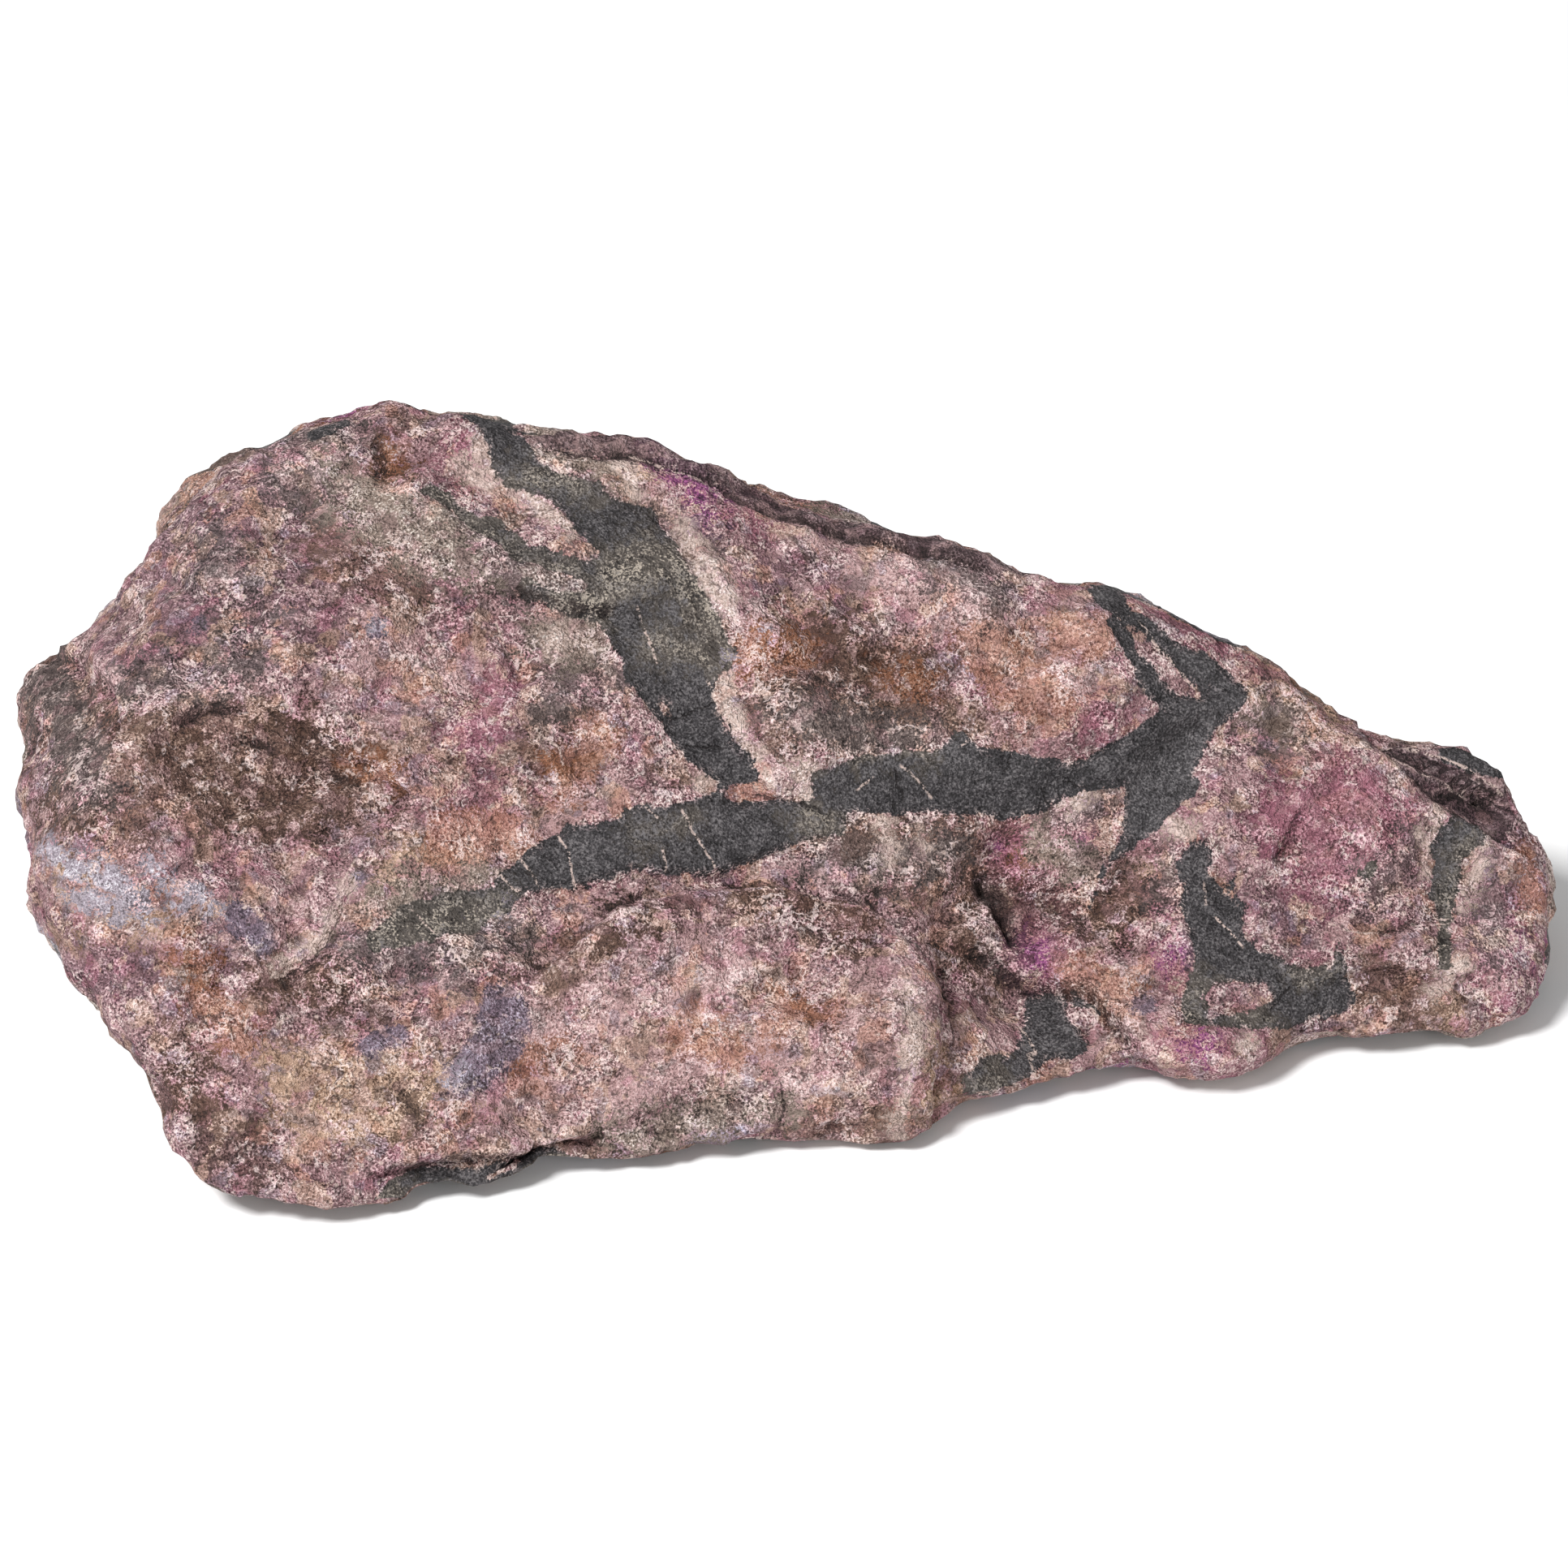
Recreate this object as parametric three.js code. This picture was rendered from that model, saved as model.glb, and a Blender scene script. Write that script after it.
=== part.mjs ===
// Rough sugilite: one broken, hand-sized lump of purple-pink sugilite rock crossed by black manganese veins.
// Millimetres, +Z up. The stone lies on a small flat spot at z = 0 with its long side along X, and its big
// weathered face looks towards -Y and up. The origin is on the table, under the middle of the stone's box.
//
// The lump is broken rock, so it is built as one: flat breaks (facets) bound it, its outline as seen from the
// front trims it, dents, ledges and veins are then worked into its face, and noise roughens all of it.
import * as THREE from "three";
import { ImprovedNoise } from "three/addons/math/ImprovedNoise.js";
import { TessellateModifier } from "three/addons/modifiers/TessellateModifier.js";
import { mergeVertices } from "three/addons/utils/BufferGeometryUtils.js";

// The view that the outline and the marks on the face are given in. It is that of an eye in front of the stone
// and above it. Distances are millimetres, angles degrees, and the picture is PICTURE pixels wide and high.
const PICTURE = 1932;
const EYE_DISTANCE = 580;
const EYE_ELEVATION = 33.5;
const PIXELS_PER_MM = 14.65; // on the table, where the eye looks
const AIM = new THREE.Vector3(-0.4, 24.7, 0); // the table point in the middle of the view

// The stone's own driving sizes.
const ROOF_HEIGHT = 45; // the roof's plane above the peak, before the edges wear
const BACK_REACH = 35.2; // how far the back stands behind the origin
const EDGE_ROUND = 2.0; // width of the worn edge between two breaks
const OUTLINE_ROUND = 1.4;
const OUTLINE_SPARES = [0.15, 0.5]; // how far outside the outline it is trimmed, since edges wear: top, bottom
const SPARE_ROWS = [1150, 1300]; // the rows of the view that the first gives way to the second between

// The mesh: a coarse icosahedron blown out from a line inside the stone, then cut finer and evened out.
const SPLITS = 6;
const SPINE_LEFT = new THREE.Vector3(-34, 2, 14);
const SPINE_RIGHT = new THREE.Vector3(42, -3, 8);
const SPREAD = new THREE.Vector3(1, 1.6, 0.85); // sends more of the rays to the far front and back
const LONGEST_EDGES = [7, 3.5]; // millimetres, for the first cutting and the last
const CUTS = 12; // times at most that a face is halved in one cutting
const RELAXINGS = 10;
const GROWTH_STEP = 0.4; // the stride that slopes are measured over
const JOIN_WITHIN = 1e-3; // points nearer than this are one
const LONGEST_RAY = 60;
const SEARCH_BACK = 4; // how far inside an evened point the search for the surface starts
const RAY_STEP = 1;
const HALVINGS = 16;

// The stone's outline as the eye sees it, in pixels, clockwise from the left end.
const OUTLINE = [
  [15, 981], [29, 943], [44, 920], [30, 889], [30, 853], [37, 832], [51, 816], [71, 800], [98, 793],
  [118, 771], [139, 746], [159, 712], [184, 689], [194, 653], [212, 624], [229, 604], [261, 583],
  [294, 565], [335, 546], [376, 532], [408, 514], [433, 506], [465, 502], [478, 489], [495, 484],
  [531, 493], [571, 500], [604, 508], [625, 520], [649, 535], [682, 533], [743, 534], [788, 539],
  [829, 556], [869, 567], [918, 589], [967, 610], [1049, 632], [1082, 648], [1114, 655], [1171, 673],
  [1240, 696], [1267, 709], [1328, 713], [1368, 718], [1394, 731], [1443, 750], [1470, 766],
  [1522, 790], [1549, 802], [1575, 824], [1593, 841], [1637, 870], [1681, 899], [1712, 900],
  [1754, 921], [1776, 914], [1814, 917], [1845, 937], [1858, 955], [1867, 986], [1880, 1012],
  [1898, 1043], [1906, 1083], [1905, 1136], [1911, 1162], [1915, 1185], [1906, 1220], [1884, 1251],
  [1858, 1266], [1809, 1274], [1756, 1268], [1717, 1264], [1690, 1268], [1664, 1277], [1637, 1271],
  [1606, 1282], [1580, 1295], [1522, 1315], [1480, 1329], [1452, 1323], [1425, 1315], [1410, 1306],
  [1350, 1317], [1297, 1329], [1266, 1330], [1240, 1343], [1189, 1349], [1177, 1364], [1147, 1389],
  [1109, 1412], [1084, 1415], [1046, 1412], [1000, 1415], [945, 1423], [861, 1431], [802, 1431],
  [739, 1436], [676, 1450], [640, 1461], [590, 1474], [539, 1484], [484, 1490], [421, 1489],
  [358, 1490], [303, 1493], [286, 1490], [257, 1463], [248, 1448], [230, 1423], [215, 1402],
  [215, 1373], [202, 1335], [185, 1297], [152, 1261], [126, 1234], [97, 1208], [80, 1183], [63, 1154],
  [38, 1116], [33, 1086], [42, 1069], [32, 1048], [25, 1015],
];

// The breaks. Each passes through a point. It faces a way round from the front, positive to the right, and its
// slope is 0 for a level top, 90 for an upright wall and more for an overhang.
const BREAKS = [
  { name: "left roof", at: [-31, 20, ROOF_HEIGHT], faces: -11, slope: 26 },
  { name: "right roof", at: [2, -5, 25.3], faces: 18, slope: 28 },
  { name: "left flank", at: [-42, -45, 0], faces: -38, slope: 55 },
  { name: "right face", at: [46, 4, 20.5], faces: 14, slope: 42 },
  { name: "right end", at: [61, -1, 21.5], faces: 70, slope: 54 },
  { name: "right tip", at: [67, -9, 8], faces: 85, slope: 84 },
  { name: "top strip", at: [-10, 22, 42], faces: 172, slope: 20 },
  { name: "crown", at: [-31, 19, ROOF_HEIGHT + 3], faces: 70, slope: 10 },
  { name: "left top", at: [-52, 10, 33], faces: -75, slope: 48 },
  { name: "left end", at: [-63.5, -6, 20], faces: -84, slope: 82 },
  { name: "back left", at: [-30, BACK_REACH, 8], faces: -172, slope: 74 },
  { name: "back corner", at: [-54, 22, 10], faces: -128, slope: 80 },
  { name: "back right", at: [30, 21, 8], faces: 158, slope: 72 },
  { name: "back shelf", at: [8, 27, 24], faces: 170, slope: 50 },
  { name: "tail back", at: [57, 10, 9], faces: 140, slope: 66 },
  { name: "left underside", at: [-55, -18, 6], faces: -95, slope: 128 },
  { name: "back underside", at: [-10, 28, 2], faces: 176, slope: 128 },
  { name: "back right underside", at: [34, 17, 2], faces: 160, slope: 130 },
  { name: "bed left", at: [-34, 0, 0], faces: -90, slope: 174 },
  { name: "bed right", at: [16, 0, 0], faces: 90, slope: 177.5 },
  { name: "bed front", at: [0, -22, 0], faces: 0, slope: 174 },
  { name: "bed back", at: [0, 18, 0], faces: 180, slope: 172 },
];

// The foot: the wall at the front, which rises from the outline's lower edge. It is nearly upright at the bottom.
// Above that it leans back, and more under the lobe on the left than on the right.
const FOOT_ROW = 1260; // the outline's points below this row, right of FOOT_COLUMN, are its lower edge
const FOOT_COLUMN = 280;
const FOOT_HEIGHT = 3; // where the lower edge is, above the table
const FOOT_SPARE = 16; // pixels that the wall stands out below the outline, which then trims it
const FOOT_UPRIGHT = 84; // degrees
const FOOT_LEAN_FROM = 6.5; // the height above the table where the leaning part starts
const FOOT_LEANS = [60, 74]; // degrees, left and right
const FOOT_CHANGE = [8, 24]; // where the lean changes, along X

// Dents and swellings of the face, in pixels of the view: the middle, the reach along and across, the turn of
// the long way, and the height towards the eye in millimetres.
const SWELLS = [
  { name: "hollow beside the lobe", at: [1290, 1105], reach: [150, 95], turn: 15, height: -4.5 },
  { name: "hollow's lower run", at: [1255, 1225], reach: [105, 70], turn: 60, height: -3.5 },
  { name: "lobe", at: [880, 1250], reach: [330, 130], turn: 0, height: 1.6 },
  { name: "lobe's right shoulder", at: [1090, 1270], reach: [80, 120], turn: 0, height: 1.6 },
  { name: "brown hollow", at: [483, 570], reach: [26, 42], turn: 10, height: -1.8 },
  { name: "knob at the left end", at: [75, 870], reach: [60, 75], turn: 0, height: 1.0 },
  { name: "dip behind the knob", at: [125, 850], reach: [30, 90], turn: -20, height: -1.2 },
  { name: "dip in the left roof", at: [330, 960], reach: [240, 80], turn: 5, height: -1.0 },
  { name: "saddle of the vein", at: [860, 850], reach: [70, 130], turn: -20, height: -1.4 },
  { name: "cheek left of the vein", at: [740, 900], reach: [90, 80], turn: 0, height: 1.0 },
  { name: "cheek right of the vein", at: [980, 850], reach: [90, 90], turn: 0, height: 0.9 },
  { name: "grey shelf", at: [1440, 940], reach: [90, 60], turn: -35, height: -1.4 },
  { name: "brow over the grey shelf", at: [1330, 880], reach: [110, 50], turn: -20, height: 1.4 },
  { name: "lower right swelling", at: [1500, 1290], reach: [100, 50], turn: -15, height: 1.2 },
  { name: "dark corner", at: [1665, 1245], reach: [60, 35], turn: -20, height: -1.8 },
  { name: "groove of the top vein", at: [1460, 820], reach: [90, 22], turn: 45, height: -1.0 },
  { name: "end ledge", at: [1770, 945], reach: [70, 22], turn: 20, height: -1.2 },
];

// Ledges of the face, in pixels. The rock on the left of the line, looking along it, stands higher by the
// step in millimetres, and the step dies away over the fade in pixels.
const LEDGES = [
  { name: "edge of the lobe", line: [[1205, 1345], [1185, 1290], [1175, 1210], [1150, 1150]],
    step: 2.2, width: 44, fade: 110 },
  { name: "white ridge", line: [[340, 1200], [385, 1165], [415, 1120], [450, 1060]],
    step: -1.0, width: 14, fade: 70 },
  { name: "ledge under the lobe", line: [[470, 1482], [520, 1440], [600, 1435], [700, 1415]],
    step: 1.3, width: 14, fade: 40 },
  { name: "brow", line: [[1540, 850], [1470, 890], [1390, 925], [1290, 950]],
    step: -1.3, width: 18, fade: 60 },
  { name: "left knob's crack", line: [[98, 793], [118, 850], [150, 930]],
    step: -0.9, width: 14, fade: 60 },
];

// The noise that roughens every side: wavelength and height in millimetres.
const ROUGHNESS = [
  { length: 26, height: 1.3 },
  { length: 11, height: 0.75 },
  { length: 5.5, height: 0.4 },
];
const ROUGHNESS_SHIFT = 7; // picks the stretch of noise that suits the outline
// Broken ledges on the sides away from the eye, where the rock split along its layers.
const LAYER_TILT = new THREE.Vector3(0.18, -0.42, 1).normalize();
const LAYER_HEIGHT = 9.5;
const LAYER_STEP = 0.8;
const LAYER_DROP = 0.7; // how much shorter the drop is than the rise
const LAYER_BEND = { length: 19, height: 3 };
const BACKWARDS = new THREE.Vector3(0, 1, -0.6);
const LAYERS_APPEAR = [0, 14]; // how far backwards the ledges start and are full

const rad = THREE.MathUtils.degToRad;
const noise = new ImprovedNoise();

const FOCAL = PIXELS_PER_MM * EYE_DISTANCE;
const ahead = new THREE.Vector3(0, Math.cos(rad(EYE_ELEVATION)), -Math.sin(rad(EYE_ELEVATION)));
const upwards = new THREE.Vector3(0, Math.sin(rad(EYE_ELEVATION)), Math.cos(rad(EYE_ELEVATION)));
const eye = AIM.clone().addScaledVector(ahead, -EYE_DISTANCE);

// Where the eye sees a point: pixels across and down, and the distance ahead in millimetres.
function seen(point) {
  const from = point.clone().sub(eye);
  const depth = from.dot(ahead);
  return {
    across: PICTURE / 2 + (FOCAL * from.x) / depth,
    down: PICTURE / 2 - (FOCAL * from.dot(upwards)) / depth,
    depth,
  };
}

function outwards({ faces, slope }) {
  const level = Math.sin(rad(slope));
  return new THREE.Vector3(
    level * Math.sin(rad(faces)),
    -level * Math.cos(rad(faces)),
    Math.cos(rad(slope)),
  );
}

const breaks = BREAKS.map((side) => {
  const normal = outwards(side);
  return { normal, offset: normal.dot(new THREE.Vector3(...side.at)) };
});

// The larger of two depths, with the corner between them worn round over a width.
function wornMax(a, b, width) {
  const near = Math.max(width - Math.abs(a - b), 0) / width;
  return Math.max(a, b) + (near * near * width) / 4;
}

// A pixel's distance to a line segment, and how far along the segment the nearest point is.
function toSegment(x, y, [ax, ay], [bx, by]) {
  const [dx, dy] = [bx - ax, by - ay];
  const along = THREE.MathUtils.clamp(((x - ax) * dx + (y - ay) * dy) / (dx * dx + dy * dy), 0, 1);
  const [ox, oy] = [x - ax - along * dx, y - ay - along * dy];
  return { distance: Math.hypot(ox, oy), side: Math.sign(dx * (y - ay) - dy * (x - ax)), along };
}

// How far a pixel is outside the outline. It is negative inside.
function fromOutline(x, y) {
  let nearest = Infinity;
  let inside = false;
  OUTLINE.forEach((a, i) => {
    const b = OUTLINE[(i + 1) % OUTLINE.length];
    nearest = Math.min(nearest, toSegment(x, y, a, b).distance);
    if (a[1] > y !== b[1] > y && x < ((b[0] - a[0]) * (y - a[1])) / (b[1] - a[1]) + a[0]) inside = !inside;
  });
  return inside ? -nearest : nearest;
}

// The same, read between the corners of a grid over the picture where it is worked out once.
const CELL = 7; // pixels
const CELLS = Math.ceil(PICTURE / CELL);
const outlineGrid = Array.from({ length: (CELLS + 1) ** 2 }, (_, i) =>
  fromOutline(CELL * (i % (CELLS + 1)), CELL * Math.floor(i / (CELLS + 1))),
);

function outsideOutline(x, y) {
  const [u, v] = [x, y].map((value) => THREE.MathUtils.clamp(value / CELL, 0, CELLS - 0.001));
  const corner = Math.floor(v) * (CELLS + 1) + Math.floor(u);
  const [above, below] = [corner, corner + CELLS + 1].map((first) =>
    THREE.MathUtils.lerp(outlineGrid[first], outlineGrid[first + 1], u % 1),
  );
  return THREE.MathUtils.lerp(above, below, v % 1);
}

// The point at a height that the eye sees at a pixel.
function onLevel(x, y, height) {
  const ray = ahead.clone().multiplyScalar(FOCAL);
  ray.addScaledVector(upwards, PICTURE / 2 - y);
  ray.x += x - PICTURE / 2;
  return eye.clone().addScaledVector(ray, (height - eye.z) / ray.z);
}

const foot = OUTLINE.filter(([x, y]) => y > FOOT_ROW && x > FOOT_COLUMN)
  .map(([x, y]) => onLevel(x, y + FOOT_SPARE, FOOT_HEIGHT))
  .sort((a, b) => a.x - b.x);

// How far a point is in front of the foot's wall.
function beyondFoot(p) {
  const next = THREE.MathUtils.clamp(foot.findIndex(({ x }) => x > p.x), 1, foot.length - 1);
  const [a, b] = p.x > foot.at(-1).x ? foot.slice(-2) : foot.slice(next - 1, next + 1);
  const front = THREE.MathUtils.mapLinear(p.x, a.x, b.x, a.y, b.y);
  const wall = (slope, height) => (front - p.y) * Math.sin(rad(slope)) + (p.z - height) * Math.cos(rad(slope));
  const lean = THREE.MathUtils.lerp(...FOOT_LEANS, THREE.MathUtils.smoothstep(p.x, ...FOOT_CHANGE));
  return wornMax(wall(FOOT_UPRIGHT, FOOT_HEIGHT), wall(lean, FOOT_LEAN_FROM), EDGE_ROUND);
}

// Roughness at a point, in millimetres.
function roughness(p) {
  const bump = ({ length, height }) =>
    height * noise.noise(p.x / length + ROUGHNESS_SHIFT, p.y / length, p.z / length);
  return ROUGHNESS.reduce((sum, size) => sum + bump(size), 0);
}

// The ledges along the rock's layers, which show at the back. Each rises slowly and ends in a shorter drop.
function layers(p) {
  const bend = LAYER_BEND.height * noise.noise(p.x / LAYER_BEND.length, p.y / LAYER_BEND.length, 3);
  const turn = (2 * Math.PI * (p.dot(LAYER_TILT) + bend)) / LAYER_HEIGHT;
  const atBack = THREE.MathUtils.smoothstep(p.dot(BACKWARDS), ...LAYERS_APPEAR);
  return atBack * LAYER_STEP * Math.sin(turn + LAYER_DROP * Math.sin(turn));
}

// How far a point is outside the stone, in millimetres. It is negative inside.
function outsideStone(p) {
  let depth = beyondFoot(p);
  for (const { normal, offset } of breaks) depth = wornMax(depth, normal.dot(p) - offset, EDGE_ROUND);
  depth += roughness(p) + layers(p);
  const view = seen(p);
  const trimmed = (outsideOutline(view.across, view.down) * view.depth) / FOCAL;
  const spare = THREE.MathUtils.lerp(...OUTLINE_SPARES, THREE.MathUtils.smoothstep(view.down, ...SPARE_ROWS));
  depth = wornMax(depth, trimmed - spare, OUTLINE_ROUND);
  return Math.max(depth, -p.z);
}

// The point of the spine that a share of the way along it is at.
function onSpine(share) {
  return SPINE_LEFT.clone().lerp(SPINE_RIGHT, THREE.MathUtils.clamp(share, 0, 1));
}

// Follows a ray from inside the stone to its surface. The search starts at a distance that is inside too.
function surfaceAlong(start, way, inside = 0) {
  const at = (t) => start.clone().addScaledVector(way, t);
  let far = inside + RAY_STEP;
  while (far < LONGEST_RAY && outsideStone(at(far)) < 0) far += RAY_STEP;
  let near = far - RAY_STEP;
  for (let i = 0; i < HALVINGS; i++) {
    const middle = (near + far) / 2;
    if (outsideStone(at(middle)) < 0) near = middle;
    else far = middle;
  }
  return at(near);
}

function swellAt(x, y, { at, reach, turn, height }) {
  const [dx, dy] = [x - at[0], y - at[1]];
  const [c, s] = [Math.cos(rad(turn)), Math.sin(rad(turn))];
  const along = (dx * c + dy * s) / reach[0];
  const across = (dy * c - dx * s) / reach[1];
  return height * Math.exp(-(along * along + across * across));
}

function ledgeAt(x, y, { line, step, width, fade }) {
  let best = { distance: Infinity };
  for (let i = 0; i + 1 < line.length; i++) {
    const found = toSegment(x, y, line[i], line[i + 1]);
    if (found.distance < best.distance) {
      const end = (i === 0 && found.along === 0) || (i === line.length - 2 && found.along === 1);
      best = { ...found, end };
    }
  }
  const signed = -best.side * best.distance;
  const rise = THREE.MathUtils.smoothstep(signed, -width, width) - 0.5;
  return step * rise * Math.exp(-best.distance / fade) * (best.end ? Math.exp(-best.distance / width) : 1);
}

// The relief of the face at a pixel of the view, in millimetres towards the eye.
function relief(x, y) {
  const swells = SWELLS.reduce((sum, swell) => sum + swellAt(x, y, swell), 0);
  return LEDGES.reduce((sum, ledge) => sum + ledgeAt(x, y, ledge), swells);
}

// How fast the depth outside the stone grows, along each axis.
function growthAt(p) {
  const growth = ["x", "y", "z"].map((axis) => {
    const [more, less] = [p.clone(), p.clone()];
    more[axis] += GROWTH_STEP;
    less[axis] -= GROWTH_STEP;
    return (outsideStone(more) - outsideStone(less)) / (2 * GROWTH_STEP);
  });
  return new THREE.Vector3(...growth);
}

// A point of the surface after the face's relief. It moves along the eye's ray, so the outline stays.
function worked(p) {
  const towardsEye = eye.clone().sub(p).normalize();
  const facing = THREE.MathUtils.smoothstep(growthAt(p).normalize().dot(towardsEye), 0.15, 0.5);
  const view = seen(p);
  const moved = p.clone().addScaledVector(towardsEye, facing * relief(view.across, view.down));
  moved.z = Math.max(moved.z, 0);
  return moved;
}

// Each point's neighbours in a mesh, as a list of sets.
function neighboursOf(geometry, count) {
  const near = Array.from({ length: count }, () => new Set());
  const corners = geometry.getIndex().array;
  for (let i = 0; i < corners.length; i += 3) {
    for (let k = 0; k < 3; k++) {
      near[corners[i + k]].add(corners[i + ((k + 1) % 3)]);
      near[corners[i + k]].add(corners[i + ((k + 2) % 3)]);
    }
  }
  return near;
}

// A point moved halfway to the middle of its neighbours.
function evened(point, neighbours) {
  const sum = neighbours.reduce((total, other) => total.add(other), new THREE.Vector3());
  return sum.divideScalar(neighbours.length).lerp(point, 0.5);
}

// Moves a point that is near the surface onto it, along the ray from the spine, so that sharp edges stay.
function ontoSurface(point) {
  const start = onSpine((point.x - SPINE_LEFT.x) / (SPINE_RIGHT.x - SPINE_LEFT.x));
  const way = point.clone().sub(start);
  const distance = way.length();
  return surfaceAlong(start, way.normalize(), Math.max(distance - SEARCH_BACK, 0));
}

function pointsOf(geometry) {
  const corners = geometry.getAttribute("position");
  return Array.from({ length: corners.count }, (_, i) => new THREE.Vector3().fromBufferAttribute(corners, i));
}

function place(geometry, points) {
  const corners = geometry.getAttribute("position");
  points.forEach((point, i) => corners.setXYZ(i, point.x, point.y, point.z));
}

// The geometry cut until no edge is longer than a length, with its points evened out over the surface.
function cutFiner(geometry, longest) {
  const fine = mergeVertices(new TessellateModifier(longest, CUTS).modify(geometry), JOIN_WITHIN);
  let points = pointsOf(fine);
  const near = neighboursOf(fine, points.length);
  for (let pass = 0; pass < RELAXINGS; pass++) {
    points = near.map((set, i) => ontoSurface(evened(points[i], [...set].map((j) => points[j]))));
  }
  place(fine, points);
  return fine;
}

function stoneGeometry() {
  const ball = new THREE.IcosahedronGeometry(1, SPLITS);
  ball.deleteAttribute("normal");
  ball.deleteAttribute("uv");
  const ways = pointsOf(ball);
  place(ball, ways.map((way) => surfaceAlong(onSpine((way.x + 1) / 2), way.multiply(SPREAD).normalize())));
  const stone = LONGEST_EDGES.reduce(cutFiner, ball);
  place(stone, pointsOf(stone).map(worked));
  stone.computeVertexNormals();
  return stone;
}

const sugilite = new THREE.Mesh(
  stoneGeometry(),
  new THREE.MeshStandardMaterial({ color: 0x8b6d72, roughness: 0.8, metalness: 0 }),
);
sugilite.name = "sugilite";

const part = new THREE.Group();
part.add(sugilite);
export default part;
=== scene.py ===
import bmesh
import bpy
import numpy as np
from mathutils import Matrix, Vector, noise


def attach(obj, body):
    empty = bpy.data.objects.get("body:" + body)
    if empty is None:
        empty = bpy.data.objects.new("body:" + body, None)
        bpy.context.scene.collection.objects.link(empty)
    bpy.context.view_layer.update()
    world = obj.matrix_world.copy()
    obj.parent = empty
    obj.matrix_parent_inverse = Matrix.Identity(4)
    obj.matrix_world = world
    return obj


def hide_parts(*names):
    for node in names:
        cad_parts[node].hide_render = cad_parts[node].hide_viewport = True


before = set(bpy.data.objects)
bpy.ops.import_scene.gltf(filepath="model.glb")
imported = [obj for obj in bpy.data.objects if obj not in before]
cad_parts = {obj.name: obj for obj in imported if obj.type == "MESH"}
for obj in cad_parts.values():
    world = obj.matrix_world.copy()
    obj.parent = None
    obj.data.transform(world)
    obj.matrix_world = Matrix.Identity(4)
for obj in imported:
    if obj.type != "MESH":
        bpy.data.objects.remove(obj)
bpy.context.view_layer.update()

MM = 0.001

# The view that the markings are laid out in: the camera's own, in pixels of a square picture.
PICTURE = 1932
EYE_DISTANCE = 580.0  # millimetres from the table point that the camera looks at
EYE_ELEVATION = np.radians(33.5)
PIXELS_PER_MM = 14.65
FOCAL = PIXELS_PER_MM * EYE_DISTANCE
AIM = np.array([-0.4, 24.7, 0.0])
AHEAD = np.array([0.0, np.cos(EYE_ELEVATION), -np.sin(EYE_ELEVATION)])
UPWARDS = np.array([0.0, np.sin(EYE_ELEVATION), np.cos(EYE_ELEVATION)])
EYE = AIM - EYE_DISTANCE * AHEAD

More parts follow.
